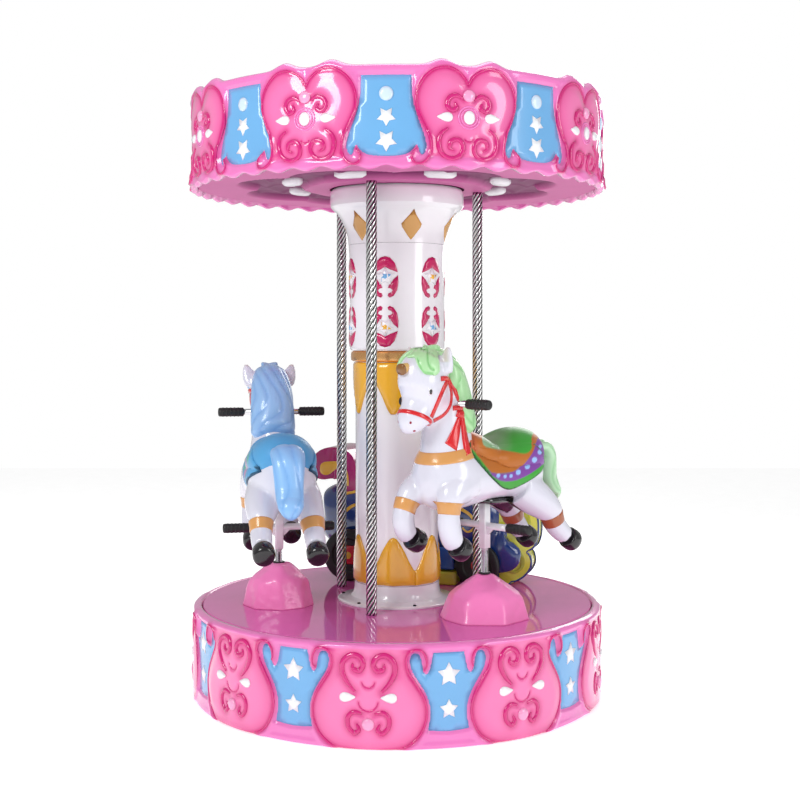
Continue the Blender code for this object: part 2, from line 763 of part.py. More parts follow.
def nose_down(pitch):
    """A turn about the footrest's own axis, by an angle in degrees."""
    return Matrix.Rotation(math.radians(pitch), 4, "Y")


def pony_footrest_mesh():
    """The upright sleeve and the footrest bar that crosses it."""
    sleeve = block(
        "sleeve", (-SLEEVE_HALF, -SLEEVE_HALF, SLEEVE_BOTTOM), (SLEEVE_HALF, SLEEVE_HALF, SLEEVE_TOP)
    )
    rest = joined("footrest", [sleeve, handle_tube("footbar", (0.0, 0.0, 0.0))], FINISH["black"])
    mesh = rest.data
    bpy.data.objects.remove(rest)
    return mesh


def ponies():
    footrest_mesh = pony_footrest_mesh()
    handlebar = handle_tube("handlebar", HANDLEBAR)
    handlebar_matrix = handlebar.matrix_world.copy()
    handlebar_mesh = handlebar.data
    bpy.data.objects.remove(handlebar)
    handlebar_mesh.transform(handlebar_matrix)
    for name in PONY_ANGLES:
        centre = bpy.data.objects.new(name, None)
        PARTS.objects.link(centre)
        centre.matrix_world = pony_place(name)
        bar_mesh = handlebar_mesh.copy()
        bar_mesh.transform(nose_down(PONY_PITCH[name]))
        pieces = (
            placed(name + "_body", pony_body_mesh(PONY_PITCH[name]), FINISH["white"]),
            placed(name + "_handlebar", bar_mesh, FINISH["black"]),
            placed(name + "_footrest", footrest_mesh, FINISH["black"]),
            cylinder(
                name + "_rod", ROD_RADIUS, ROD_BOTTOM - PONY_DATUM[name], SLEEVE_BOTTOM - GAP,
                FINISH["chrome"], sides=16,
            ),
        )
        for piece in pieces:
            piece.parent = centre
            smooth(piece)
        rock(name + "_rock", name)


# Carriage: forward is +X, its left +Y, and Z counts up from the turntable floor

HULL_BOTTOM = 0.100
HULL_STATIONS = (
    (-0.412, 0.0, 0.225, 0.060, 0.060), (-0.395, 0.0, 0.225, 0.092, 0.100),
    (-0.350, 0.0, 0.235, 0.118, 0.128), (-0.260, 0.0, 0.242, 0.134, 0.140),
    (-0.100, 0.0, 0.240, 0.140, 0.140), (0.080, 0.0, 0.240, 0.138, 0.140),
    (0.200, 0.0, 0.236, 0.124, 0.136), (0.270, 0.0, 0.230, 0.098, 0.120),
    (0.2997, 0.0, 0.230, 0.080, 0.105),
)
CABIN = ((-0.330, -0.112, 0.125), (0.170, 0.112, 0.60))
BACK_FRONT = -0.245
BENCH_FRONT = -0.070
BENCH_TOP = 0.215
WHEEL_RADIUS = 0.082
WHEEL_SPOTS = {"front": 0.258, "rear": -0.262}
WHEEL_INNER = 0.146
WHEEL_OUTER = 0.176
AXLE_RADIUS = 0.011
PLINTH_HALF_LENGTH = 0.300
PLINTH_HALF_WIDTH = 0.070
BACK_OUTLINE = (
    (BACK_FRONT, 0.130), (-0.252, 0.300), (-0.262, 0.440), (-0.290, 0.492), (-0.340, 0.511),
    (-0.395, 0.506), (-0.436, 0.478), (-0.450, 0.436), (-0.438, 0.398), (-0.405, 0.383),
    (-0.366, 0.388), (-0.342, 0.386), (-0.3297, 0.371), (-0.3297, 0.130),
)
PROW_OUTLINE = (
    (0.300, 0.012), (0.350, 0.012), (0.392, 0.034), (0.417, 0.072), (0.414, 0.108),
    (0.404, 0.126), (0.430, 0.148), (0.443, 0.190), (0.442, 0.250), (0.426, 0.300),
    (0.392, 0.338), (0.350, 0.352), (0.318, 0.344), (0.300, 0.320),
)


def carriage_place():
    angle = math.radians(CARRIAGE_ANGLE)
    spot = Matrix.Translation(
        (RIDE_RADIUS * math.cos(angle), RIDE_RADIUS * math.sin(angle), BASE_HEIGHT)
    )
    return spot @ Matrix.Rotation(angle - math.pi / 2, 4, "Z")


def side_profile(name, outline, width, finish):
    """An upright plate with an outline in the carriage's side view, as wide as given."""
    upright = plate(name, outline, width)
    upright.rotation_euler = (math.radians(90), 0.0, 0.0)
    upright = baked(upright)
    upright.data.transform(Matrix.Rotation(math.radians(90), 4, "X"))
    upright.matrix_world = Matrix.Identity(4)
    upright.data.materials.clear()
    upright.data.materials.append(finish)
    return upright


def wheel_set(name, forward):
    """Two wheels on one axle."""
    profile = (
        (0.0, WHEEL_OUTER), (0.060, WHEEL_OUTER), (WHEEL_RADIUS, WHEEL_OUTER - 0.006),
        (WHEEL_RADIUS, WHEEL_INNER + 0.006), (0.060, WHEEL_INNER), (AXLE_RADIUS, WHEEL_INNER),
        (AXLE_RADIUS, -WHEEL_INNER), (0.060, -WHEEL_INNER), (WHEEL_RADIUS, -WHEEL_INNER - 0.006),
        (WHEEL_RADIUS, 0.006 - WHEEL_OUTER), (0.060, -WHEEL_OUTER), (0.0, -WHEEL_OUTER),
    )
    made = turned(name, profile, FINISH["black"], sides=20)
    made.matrix_world = Matrix.Translation((forward, 0.0, WHEEL_RADIUS + 0.001)) @ Matrix.Rotation(
        math.radians(-90), 4, "X"
    )
    return made


def carriage():
    centre = bpy.data.objects.new("carriage", None)
    PARTS.objects.link(centre)
    centre.matrix_world = carriage_place()

    hull = loft("carriage_hull", HULL_STATIONS, 20, FINISH["navy"], power=3.2)
    cabin = as_cutter(block("cabin_space", *CABIN))
    sill = as_cutter(block("hull_underside", (-0.6, -0.3, -0.2), (0.6, 0.3, HULL_BOTTOM)))
    door = as_cutter(cylinder("door_dip", 0.130, -0.3, 0.3, sides=32))
    door.matrix_world = Matrix.Translation((0.010, 0.0, 0.420)) @ Matrix.Rotation(
        math.radians(90), 4, "X"
    )
    for helper in (cabin, sill, door):
        helper.parent = centre
        cut(hull, helper)

    back = side_profile("carriage_back", BACK_OUTLINE, 2 * (0.112 - GAP), FINISH["magenta"])
    prow = side_profile("carriage_prow", PROW_OUTLINE, 0.150, FINISH["lime"])
    bench = block(
        "carriage_bench",
        (BACK_FRONT + GAP, GAP - 0.112, 0.125 + GAP),
        (BENCH_FRONT, 0.112 - GAP, BENCH_TOP),
        FINISH["red"],
    )
    plinth = block(
        "carriage_plinth",
        (-PLINTH_HALF_LENGTH, -PLINTH_HALF_WIDTH, GAP),
        (PLINTH_HALF_LENGTH - GAP, PLINTH_HALF_WIDTH, HULL_BOTTOM - GAP),
        FINISH["lime"],
    )
    wheels = []
    for name, forward in WHEEL_SPOTS.items():
        wheels.append(wheel_set(f"carriage_{name}_wheels", forward))
        tunnel = as_cutter(cylinder(f"{name}_axle_hole", AXLE_RADIUS + GAP, -0.2, 0.2, sides=20))
        tunnel.matrix_world = wheels[-1].matrix_world.copy()
        tunnel.parent = centre
        cut(plinth, tunnel)
    for piece in (hull, back, prow, bench, plinth, *wheels):
        piece.parent = centre
    for piece in (hull, prow, back):
        smooth(piece)


def build():
    base_skirt()
    chassis()
    bearing()
    turntable_hub()
    turntable_floor()
    column()
    column_ornaments()
    canopy_valance()
    canopy_plates()
    poles()
    ponies()
    carriage()


clear_scene()
PARTS = collection("carousel")
CUTTERS = collection("cutters", hidden=True)
FINISH = {
    "pink": material("pink_gelcoat", PINK, 0.18),
    "mauve": material("mauve_gelcoat", MAUVE, 0.12),
    "white": material("white_gelcoat", WHITE, 0.22),
    "gold": material("gold_paint", GOLD, 0.30, 0.3),
    "yellow": material("yellow_gelcoat", YELLOW, 0.20),
    "chrome": material("chrome", CHROME, 0.08, 1.0),
    "steel": material("dark_steel", STEEL, 0.45, 0.7),
    "black": material("black_rubber", BLACK, 0.55),
    "navy": material("navy_gelcoat", NAVY, 0.20),
    "magenta": material("magenta_gelcoat", MAGENTA, 0.20),
    "lime": material("lime_gelcoat", LIME, 0.20),
    "red": material("red_gelcoat", RED, 0.20),
}
build()
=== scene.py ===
"""The looks of a small fairground carousel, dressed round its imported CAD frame."""

import math

import bmesh
import bpy
import numpy as np
from mathutils import Matrix, Vector, noise
from mathutils.bvhtree import BVHTree
from mathutils.geometry import delaunay_2d_cdt


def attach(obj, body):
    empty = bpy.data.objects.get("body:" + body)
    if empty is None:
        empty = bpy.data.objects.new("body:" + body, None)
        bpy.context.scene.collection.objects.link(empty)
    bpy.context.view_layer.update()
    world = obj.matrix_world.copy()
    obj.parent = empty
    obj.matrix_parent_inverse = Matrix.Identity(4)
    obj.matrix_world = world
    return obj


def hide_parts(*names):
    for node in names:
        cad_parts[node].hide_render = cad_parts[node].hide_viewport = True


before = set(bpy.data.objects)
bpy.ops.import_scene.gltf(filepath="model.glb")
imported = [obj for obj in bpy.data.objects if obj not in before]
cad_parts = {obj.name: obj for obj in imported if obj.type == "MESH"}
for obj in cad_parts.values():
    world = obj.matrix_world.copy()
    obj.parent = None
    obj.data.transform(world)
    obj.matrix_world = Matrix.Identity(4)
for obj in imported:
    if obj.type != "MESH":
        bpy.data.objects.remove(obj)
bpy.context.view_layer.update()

# Sizes that the CAD source uses too, in metres
PANELS = 9
PANEL_STEP = math.radians(360 / PANELS)
BASE_RADIUS = 0.727
BASE_HEIGHT = 0.325
BASE_PANEL_ANGLE = -97.0
CANOPY_RADIUS = 0.742
CANOPY_BOTTOM = 1.7875
CANOPY_TOP = 2.107
CANOPY_PANEL_ANGLE = -72.6
CEILING_BOTTOM = 1.800
RIDE_RADIUS = 0.430
COLUMN_RADIUS = 0.150
DRUM_RADIUS = 0.172
COLUMN_ORNAMENTS = 6
POLE_ANGLES = (13.5, 133.5, 253.5)
POLE_CIRCLE = 0.304
PONY_ANGLES = {"right_pony": 313.5, "left_pony": 193.5}
PONY_DATUM = {"right_pony": 0.633, "left_pony": 0.597}
PONY_TURN = {"right_pony": 1.5, "left_pony": -2.0}
PONY_PITCH = {"right_pony": 0.0, "left_pony": 6.5}
CARRIAGE_ANGLE = 73.5

# Camera: fitted to the photograph's own perspective
CAMERA_DISTANCE = 4.74
CAMERA_HEIGHT = 1.266
CAMERA_LENS = 58.93
CAMERA_SHIFT = (0.0038, -0.0775)


def srgb(code):
    """A hex colour as linear red, green and blue."""
    made = []
    for place in (0, 2, 4):
        value = int(code[place:place + 2], 16) / 255
        made.append(value / 12.92 if value < 0.04045 else ((value + 0.055) / 1.055) ** 2.4)
    return tuple(made)


COLOUR = {
    "pink": srgb("F678B6"),
    "hot_pink": srgb("D40A7A"),
    "rim_pink": srgb("F07CC4"),
    "blue": srgb("6FB1E6"),
    "white": srgb("F4F3F8"),
    "ceiling": srgb("C8659E"),
    "ceiling_painted_shade": srgb("641F50"),
    "yellow": srgb("F4B62A"),
    "magenta": srgb("C80F5E"),
    "diamond": srgb("D39B4A"),
}


# Materials

def shader_of(material):
    return next(n for n in material.node_tree.nodes if n.type == "BSDF_PRINCIPLED")


def gelcoat(name, colour, roughness=0.24, coat=0.5, peel=0.05, painted=False, vary=0.06):
    """Sprayed paint under a clear gelcoat: a slow change of tone and a fine orange peel."""
    material = bpy.data.materials.new(name)
    material.use_nodes = True
    nodes, links = material.node_tree.nodes, material.node_tree.links
    shader = shader_of(material)
    place = nodes.new("ShaderNodeTexCoord")
    cloud = nodes.new("ShaderNodeTexNoise")
    cloud.inputs["Scale"].default_value = 7.0
    cloud.inputs["Detail"].default_value = 3.0
    links.new(place.outputs["Object"], cloud.inputs["Vector"])
    tone = nodes.new("ShaderNodeMapRange")
    tone.inputs["From Min"].default_value = 0.3
    tone.inputs["From Max"].default_value = 0.7
    tone.inputs["To Min"].default_value = 1.0 - vary
    tone.inputs["To Max"].default_value = 1.0
    links.new(cloud.outputs["Fac"], tone.inputs["Value"])
    mix = nodes.new("ShaderNodeMix")
    mix.data_type = "RGBA"
    mix.blend_type = "MULTIPLY"
    mix.inputs["Factor"].default_value = 1.0
    if painted:
        paint = nodes.new("ShaderNodeAttribute")
        paint.attribute_name = "paint"
        links.new(paint.outputs["Color"], mix.inputs["A"])
    else:
        mix.inputs["A"].default_value = (*colour, 1.0)
    links.new(tone.outputs["Result"], mix.inputs["B"])
    links.new(mix.outputs["Result"], shader.inputs["Base Color"])
    grain = nodes.new("ShaderNodeTexNoise")
    grain.inputs["Scale"].default_value = 260.0
    grain.inputs["Detail"].default_value = 1.0
    links.new(place.outputs["Object"], grain.inputs["Vector"])
    bump = nodes.new("ShaderNodeBump")
    bump.inputs["Strength"].default_value = peel
    bump.inputs["Distance"].default_value = 0.001
    links.new(grain.outputs["Fac"], bump.inputs["Height"])
    links.new(bump.outputs["Normal"], shader.inputs["Normal"])
    shader.inputs["Roughness"].default_value = roughness
    shader.inputs["Coat Weight"].default_value = coat
    shader.inputs["Coat Roughness"].default_value = 0.06
    return material


def metal(name, colour, roughness, scratch=0.0, painted=False):
    """Bright or dull metal, with fine rubbed marks in its roughness."""
    material = bpy.data.materials.new(name)
    material.use_nodes = True
    nodes, links = material.node_tree.nodes, material.node_tree.links
    shader = shader_of(material)
    shader.inputs["Metallic"].default_value = 1.0
    shader.inputs["Base Color"].default_value = (*colour, 1.0)
    if painted:
        paint = nodes.new("ShaderNodeAttribute")
        paint.attribute_name = "paint"
        links.new(paint.outputs["Color"], shader.inputs["Base Color"])
    place = nodes.new("ShaderNodeTexCoord")
    rub = nodes.new("ShaderNodeTexNoise")
    rub.inputs["Scale"].default_value = 60.0
    rub.inputs["Detail"].default_value = 4.0
    links.new(place.outputs["Object"], rub.inputs["Vector"])
    spread = nodes.new("ShaderNodeMapRange")
    spread.inputs["To Min"].default_value = roughness
    spread.inputs["To Max"].default_value = roughness + 0.12 + scratch
    links.new(rub.outputs["Fac"], spread.inputs["Value"])
    links.new(spread.outputs["Result"], shader.inputs["Roughness"])
    return material


def rubber(name, colour):
    """Moulded rubber: dull, with a fine pebbled grain."""
    material = gelcoat(name, colour, roughness=0.48, coat=0.0, peel=0.25, vary=0.2)
    return material


PAINT = {
    "painted_pink": gelcoat("painted_pink", COLOUR["pink"], 0.20, 0.7, 0.05, painted=True),
    "pink": gelcoat("pink_shell", COLOUR["rim_pink"], 0.22, 0.6),
    "hot_pink": gelcoat("hot_pink_trim", COLOUR["hot_pink"], 0.18, 0.8, 0.03),
    "pearl_pink": gelcoat("pearl_pink", srgb("F9A6D2"), 0.20, 0.7, 0.03),
    "blue": gelcoat("sky_blue", COLOUR["blue"], 0.26, 0.5),
    "pale_blue": gelcoat("pale_blue", srgb("D3E8FA"), 0.24, 0.5, 0.03),
    "star": gelcoat("star_white", srgb("F7FAFF"), 0.28, 0.4, 0.03),
    "white": gelcoat("white_shell", COLOUR["white"], 0.20, 0.7, 0.04, vary=0.04),
    "yellow": gelcoat("yellow_shell", COLOUR["yellow"], 0.20, 0.7, 0.05),
    "diamond": gelcoat("gold_diamond", COLOUR["diamond"], 0.26, 0.5, 0.03),
    "magenta": gelcoat("magenta_trim", COLOUR["magenta"], 0.20, 0.6, 0.03),
    "mauve": gelcoat("mauve_floor", srgb("DC68B2"), 0.06, 0.0, 0.02),
    "ceiling": gelcoat("ceiling_shell", COLOUR["ceiling"], 0.50, 0.0, 0.05, painted=True),
    "lamp": gelcoat("lamp_lens", srgb("EDEAF0"), 0.35, 0.3, 0.08),
    "rock": gelcoat("rock_pink", srgb("FF86C8"), 0.34, 0.3, 0.10),
    "gold": metal("gold_band", srgb("F2B87A"), 0.20, -0.09),
    "chrome": metal("chrome", srgb("DADADD"), 0.06),
    "twisted_chrome_painted_reflection": metal("twisted_chrome_painted_reflection", srgb("DADADD"), 0.06, -0.06, painted=True),
    "steel": metal("dark_steel", srgb("5C5F66"), 0.38, 0.1),
    "galvanised": metal("galvanised_steel", srgb("9A9DA3"), 0.42, 0.15),
    "screw": metal("black_screw", srgb("2A2A2E"), 0.35, 0.1),
    "grip": rubber("black_grip", srgb("151517")),
    "pony_white": gelcoat("pony_white", COLOUR["white"], 0.24, 0.6, 0.05, painted=True, vary=0.03),
    "hair": gelcoat("carved_hair", COLOUR["white"], 0.30, 0.4, 0.06, painted=True),
    "saddle": gelcoat("painted_saddle", COLOUR["white"], 0.38, 0.08, 0.06, painted=True),
    "gold_cloth": gelcoat("gold_tan_band", srgb("DFA05A"), 0.28, 0.5, 0.06, vary=0.12),
    "horn": gelcoat("horn_tan", srgb("E8B568"), 0.26, 0.5, 0.05, vary=0.10),
    "bronze": gelcoat("horn_bronze", srgb("8A5A22"), 0.26, 0.5, 0.05, vary=0.15),
    "brown_band": gelcoat("brown_band", srgb("A8562A"), 0.30, 0.5, 0.06, vary=0.15),
    "red_strap": gelcoat("red_strap", srgb("D8101C"), 0.24, 0.5, 0.05),
    "hoof_black": gelcoat("hoof_black", srgb("141116"), 0.20, 0.35, 0.05, vary=0.2),
    "eye_black": gelcoat("eye_black", srgb("0A0A0C"), 0.08, 1.0, 0.0),
    "navy": gelcoat("navy_gelcoat_look", srgb("17387E"), 0.16, 0.8, 0.05, vary=0.15),
    "magenta_gloss": gelcoat("magenta_gelcoat_look", srgb("A8106A"), 0.18, 0.8, 0.05, vary=0.12),
    "lime": gelcoat("lime_gelcoat_look", srgb("D8D83A"), 0.20, 0.7, 0.06, vary=0.14),
    "lime_crease_shade": gelcoat("lime_shade", srgb("AEB42A"), 0.22, 0.6, 0.06, vary=0.14),
    "red_gloss": gelcoat("red_gelcoat_look", srgb("D01420"), 0.18, 0.8, 0.05, vary=0.12),
    "blue_gloss": gelcoat("blue_gelcoat_look", srgb("1F5FB8"), 0.18, 0.8, 0.05, vary=0.12),
    "black_gloss": gelcoat("black_gelcoat_look", srgb("101014"), 0.16, 0.8, 0.05, vary=0.12),
    "gold_gloss": gelcoat("gold_gelcoat_look", srgb("E8B838"), 0.22, 0.6, 0.06, vary=0.14),
    "nostril_red": gelcoat("nostril_red", srgb("A0203A"), 0.30, 0.4, 0.03),
}


# The ceiling and the saddles' tops are seen almost edge on, where full gloss would be white
shader_of(PAINT["ceiling"]).inputs["Specular IOR Level"].default_value = 0.15
shader_of(PAINT["saddle"]).inputs["Specular IOR Level"].default_value = 0.25


# Mesh helpers

def made_object(name, mesh, material, body, smooth=True):
    """A finished piece in the row frame, riding on its body."""
    obj = bpy.data.objects.new(name, mesh)
    bpy.context.scene.collection.objects.link(obj)
    mesh.materials.clear()
    mesh.materials.append(material)
    if smooth:
        mesh.shade_smooth()
    if body:
        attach(obj, body)
    return obj


def mesh_from(name, points, faces, paint=None):
    """A mesh from points and faces, with an optional colour for each point."""
    mesh = bpy.data.meshes.new(name)
    mesh.from_pydata(np.asarray(points, float).tolist(), [], list(faces))
    if paint is not None:
        attribute = mesh.color_attributes.new("paint", "FLOAT_COLOR", "POINT")
        flat = np.ones((len(points), 4), np.float32)
        flat[:, :3] = paint
        attribute.data.foreach_set("color", flat.ravel())
    mesh.update()
    return mesh


def arrays_of(mesh):
    """A mesh's points, faces and colours."""
    count = len(mesh.vertices)
    flat = np.empty(count * 3)
    mesh.vertices.foreach_get("co", flat)
    faces = [tuple(p.vertices) for p in mesh.polygons]
    paint = None
    if mesh.color_attributes:
        shade = np.empty(count * 4, np.float32)
        mesh.color_attributes[0].data.foreach_get("color", shade)
        paint = shade.reshape(-1, 4)[:, :3]
    return flat.reshape(-1, 3), faces, paint


def merged(name, meshes, copies=1):
    """Several meshes as one, repeated round the carousel's axis."""
    points, faces, paints, start = [], [], [], 0
    for mesh in meshes:
        own, links, paint = arrays_of(mesh)
        for copy in range(copies):
            angle = 2 * math.pi * copy / copies
            turn = np.array([
                [math.cos(angle), math.sin(angle), 0], [-math.sin(angle), math.cos(angle), 0], [0, 0, 1]
            ])
            points.append(own @ turn)
            faces.extend([tuple(v + start for v in link) for link in links])
            if paint is not None:
                paints.append(paint)
            start += len(own)
        bpy.data.meshes.remove(mesh)
    return mesh_from(name, np.vstack(points), faces, np.vstack(paints) if paints else None)


def smooth_path(points, steps):
    """Points of a curve that runs smoothly through the given ones."""
    made = []
    last = len(points) - 1
    for index in range(last):
        b, c = points[index], points[index + 1]
        a, d = points[max(index - 1, 0)], points[min(index + 2, last)]
        for step in range(steps):
            t = step / steps
            made.append(tuple(
                0.5 * (2 * q + (r - p) * t + (2 * p - 5 * q + 4 * r - s) * t * t
                       + (3 * q - p - 3 * r + s) * t ** 3)
                for p, q, r, s in zip(a, b, c, d)
            ))
    made.append(tuple(points[last]))
    return made


def smooth_loop(points, steps):
    """A closed smooth curve through the given points."""
    count = len(points)
    made = []
    for index in range(count):
        a, b, c, d = (points[(index + k) % count] for k in (-1, 0, 1, 2))
        for step in range(steps):
            t = step / steps
            made.append(tuple(
                0.5 * (2 * q + (r - p) * t + (2 * p - 5 * q + 4 * r - s) * t * t
                       + (3 * q - p - 3 * r + s) * t ** 3)
                for p, q, r, s in zip(a, b, c, d)
            ))
    return made


def mirrored(half):
    """A closed outline from its right half, which starts and ends on the middle line."""
    left = [(-x, z) for x, z in reversed(half[1:-1])]
    return list(half) + left


def inside(outline, x, z):
    """Which of the points lie within a closed outline."""
    hit = np.zeros(np.shape(x), bool)
    for (x0, z0), (x1, z1) in zip(outline, outline[1:] + outline[:1]):
        crosses = (z0 > z) != (z1 > z)
        with np.errstate(divide="ignore", invalid="ignore"):
            at = x0 + (z - z0) * (x1 - x0) / (z1 - z0)
        hit ^= crosses & (x < at)
    return hit


def distance(path, x, z, closed=False):
    """How far each point is from a line of points."""
    best = np.full(np.shape(x), 1e9)
    pairs = list(zip(path, path[1:]))
    if closed:
        pairs.append((path[-1], path[0]))
    for (x0, z0), (x1, z1) in pairs:
        dx, dz = x1 - x0, z1 - z0
        length = dx * dx + dz * dz
        t = np.clip(((x - x0) * dx + (z - z0) * dz) / max(length, 1e-12), 0, 1)
        best = np.minimum(best, np.hypot(x - x0 - t * dx, z - z0 - t * dz))
    return best


def ease(value):
    value = np.clip(value, 0, 1)
    return value * value * (3 - 2 * value)


def inlay_mesh(name, outline, place, height, bevel, spacing, sink=0.004, paint=None, wall=0.5):
    """A raised pad with the outline's shape, domed at its edge and closed underneath.
    place maps (x, z, lift) into the row frame, and wall is the upright share of the edge."""
    xs = [p[0] for p in outline]
    zs = [p[1] for p in outline]
    grid_x = np.arange(min(xs) + spacing / 2, max(xs), spacing)
    grid_z = np.arange(min(zs) + spacing / 2, max(zs), spacing)
    gx, gz = np.meshgrid(grid_x, grid_z)
    keep = inside(outline, gx, gz) & (distance(outline, gx, gz, True) > spacing * 0.45)
    points = [Vector(p) for p in outline]
    points += [Vector((float(x), float(z))) for x, z in zip(gx[keep], gz[keep])]
    count = len(outline)
    edges = [(i, (i + 1) % count) for i in range(count)]
    flat, _, faces, _, _, _ = delaunay_2d_cdt(points, edges, [], 1, 1e-7)
    fx = np.array([p[0] for p in flat])
    fz = np.array([p[1] for p in flat])
    away = distance(outline, fx, fz, True)
    dome = np.sqrt(np.clip(1 - (1 - np.clip(away / bevel, 0, 1)) ** 2, 0, 1))
    lift = height * (wall + (1 - wall) * dome)
    top = [place(x, z, h) for x, z, h in zip(fx, fz, lift)]
    bottom = [place(x, z, -sink) for x, z in zip(fx, fz)]
    total = len(top)
    solid = [tuple(f) for f in faces]
    solid += [tuple(total + v for v in reversed(f)) for f in faces]
    used = {}
    for f in faces:
        for a, b in zip(f, list(f[1:]) + [f[0]]):
            used[(a, b)] = True
    for a, b in list(used):
        if (b, a) not in used:
            solid.append((b, a, total + a, total + b))
    mesh = mesh_from(name, top + bottom, solid, None)
    if paint is not None:
        colours = paint(np.concatenate([fx, fx]), np.concatenate([fz, fz]))
        attribute = mesh.color_attributes.new("paint", "FLOAT_COLOR", "POINT")
        both = np.ones((2 * total, 4), np.float32)
        both[:, :3] = colours
        attribute.data.foreach_set("color", both.ravel())
    editable = bmesh.new()
    editable.from_mesh(mesh)
    bmesh.ops.recalc_face_normals(editable, faces=editable.faces)
    editable.to_mesh(mesh)
    editable.free()
    return mesh


def bead_mesh(name, path, radii, place, sides=8, flat=1.0):
    """A rolled bead along a path of (x, z), lying on the surface that place describes."""
    points = [Vector(place(x, z, 0.0)) for x, z in path]
    outward = [Vector(place(x, z, 0.01)) - p for (x, z), p in zip(path, points)]
    rings, faces = [], []
    last = len(points) - 1
    for index, point in enumerate(points):
        along = points[min(index + 1, last)] - points[max(index - 1, 0)]
        along.normalize()
        up = outward[index].normalized()
        side = along.cross(up).normalized()
        for corner in range(sides):
            angle = 2 * math.pi * corner / sides
            rings.append(
                point + side * math.cos(angle) * radii[index]
                + up * math.sin(angle) * radii[index] * flat
            )
    for index in range(last):
        for corner in range(sides):
            a, b = index * sides + corner, index * sides + (corner + 1) % sides
            faces.append((a, b, b + sides, a + sides))
    faces.append(tuple(reversed(range(sides))))
    faces.append(tuple(last * sides + k for k in range(sides)))
    mesh = mesh_from(name, rings, faces)
    editable = bmesh.new()
    editable.from_mesh(mesh)
    bmesh.ops.recalc_face_normals(editable, faces=editable.faces)
    editable.to_mesh(mesh)
    editable.free()
    return mesh


def lathe_mesh(name, profile, sides=96, steps=4, smooth=True):
    """A profile of (radius, height) turned about the carousel's axis, bottom to top."""
    line = smooth_path(profile, steps) if smooth else list(profile)
    points, faces = [], []
    for radius, height in line:
        for k in range(sides):
            angle = 2 * math.pi * k / sides
            points.append((radius * math.cos(angle), radius * math.sin(angle), height))
    for row in range(len(line) - 1):
        for k in range(sides):
            a, b = row * sides + k, row * sides + (k + 1) % sides
            faces.append((a, b, b + sides, a + sides))
    faces.append(tuple(reversed(range(sides))))
    faces.append(tuple((len(line) - 1) * sides + k for k in range(sides)))
    return mesh_from(name, points, faces)


def sharpen(obj, angle=35):
    obj.data.set_sharp_from_angle(angle=math.radians(angle))
    return obj


def on_ring(middle, reference, surface):
    """Maps arc length and height at a panel to the row frame, lifted off the surface."""
    start = math.radians(middle)

    def place(x, z, lift):
        angle = start + x / reference
        radius = surface(x, z) + lift
        return (radius * math.cos(angle), radius * math.sin(angle), z)

    return place


# Stage, light and camera

def stage():
    mesh = mesh_from("studio_floor", [(-8, -8, 0), (8, -8, 0), (8, 8, 0), (-8, 8, 0)], [(0, 1, 2, 3)])
    paper = gelcoat("studio_paper", srgb("F6F6F6"), 0.9, 0.0, 0.0)
    shader_of(paper).inputs["Emission Color"].default_value = (1.0, 1.0, 1.0, 1.0)
    shader_of(paper).inputs["Emission Strength"].default_value = 0.53
    made_object("studio_floor", mesh, paper, None)
    world = bpy.data.worlds.new("studio")
    world.use_nodes = True
    nodes, links = world.node_tree.nodes, world.node_tree.links
    nodes["Background"].inputs["Color"].default_value = (1.0, 1.0, 1.0, 1.0)
    ray = nodes.new("ShaderNodeLightPath")
    level = nodes.new("ShaderNodeMapRange")
    level.inputs["To Min"].default_value = 0.46
    level.inputs["To Max"].default_value = 1.0
    links.new(ray.outputs["Is Camera Ray"], level.inputs["Value"])
    links.new(level.outputs["Result"], nodes["Background"].inputs["Strength"])
    bpy.context.scene.world = world
    bpy.context.scene.view_settings.view_transform = "Standard"


def softbox(name, place, target, size, power, colour=(1.0, 1.0, 1.0)):
    light = bpy.data.lights.new(name, "AREA")
    light.shape = "RECTANGLE"
    light.size, light.size_y = size
    light.energy = power
    light.color = colour
    obj = bpy.data.objects.new(name, light)
    bpy.context.scene.collection.objects.link(obj)
    obj.location = place
    obj.rotation_euler = (Vector(target) - Vector(place)).to_track_quat("-Z", "Y").to_euler()


def lights_and_camera():
    softbox("key_light", (-2.6, -3.6, 3.4), (0, 0, 1.1), (1.6, 1.6), 95)
    softbox("fill_light", (3.4, -2.6, 2.0), (0, 0, 1.0), (1.4, 2.4), 45)
    softbox("top_light", (0.0, 0.4, 4.6), (0, 0, 1.0), (2.6, 2.6), 50)
    softbox("rim_light", (1.5, 3.6, 2.6), (0, 0, 1.0), (2.0, 2.0), 40)
    lens = bpy.data.cameras.new("camera")
    lens.lens = CAMERA_LENS
    lens.sensor_width = 36
    lens.shift_x, lens.shift_y = CAMERA_SHIFT
    camera = bpy.data.objects.new("camera", lens)
    bpy.context.scene.collection.objects.link(camera)
    camera.location = (0.0, -CAMERA_DISTANCE, CAMERA_HEIGHT)
    camera.rotation_euler = (math.radians(90), 0.0, 0.0)
    bpy.context.scene.camera = camera


# Base skirt and canopy valance: one panel's relief, repeated round the ring

# The shield's outline from its middle out to its hooked foot, as arc length and height in
# metres. The canopy stands it upright. The base hangs it upside down.
SHIELD_RIDGE = (
    (0.000, 0.258), (0.014, 0.282), (0.040, 0.302), (0.075, 0.311), (0.115, 0.300),
    (0.148, 0.268), (0.165, 0.225), (0.163, 0.183), (0.148, 0.145), (0.130, 0.108),
    (0.121, 0.070), (0.126, 0.036), (0.148, 0.014), (0.172, 0.016), (0.180, 0.038),
    (0.166, 0.060),
)
HOOK_POINTS = 4
BLUE_FIELD = (
    (0.000, 0.286), (0.074, 0.286), (0.079, 0.281), (0.081, 0.245), (0.086, 0.200),
    (0.101, 0.152), (0.118, 0.108), (0.127, 0.070), (0.120, 0.046), (0.110, 0.042),
    (0.103, 0.052), (0.096, 0.072), (0.086, 0.060), (0.070, 0.046), (0.040, 0.038),
    (0.000, 0.036),
)
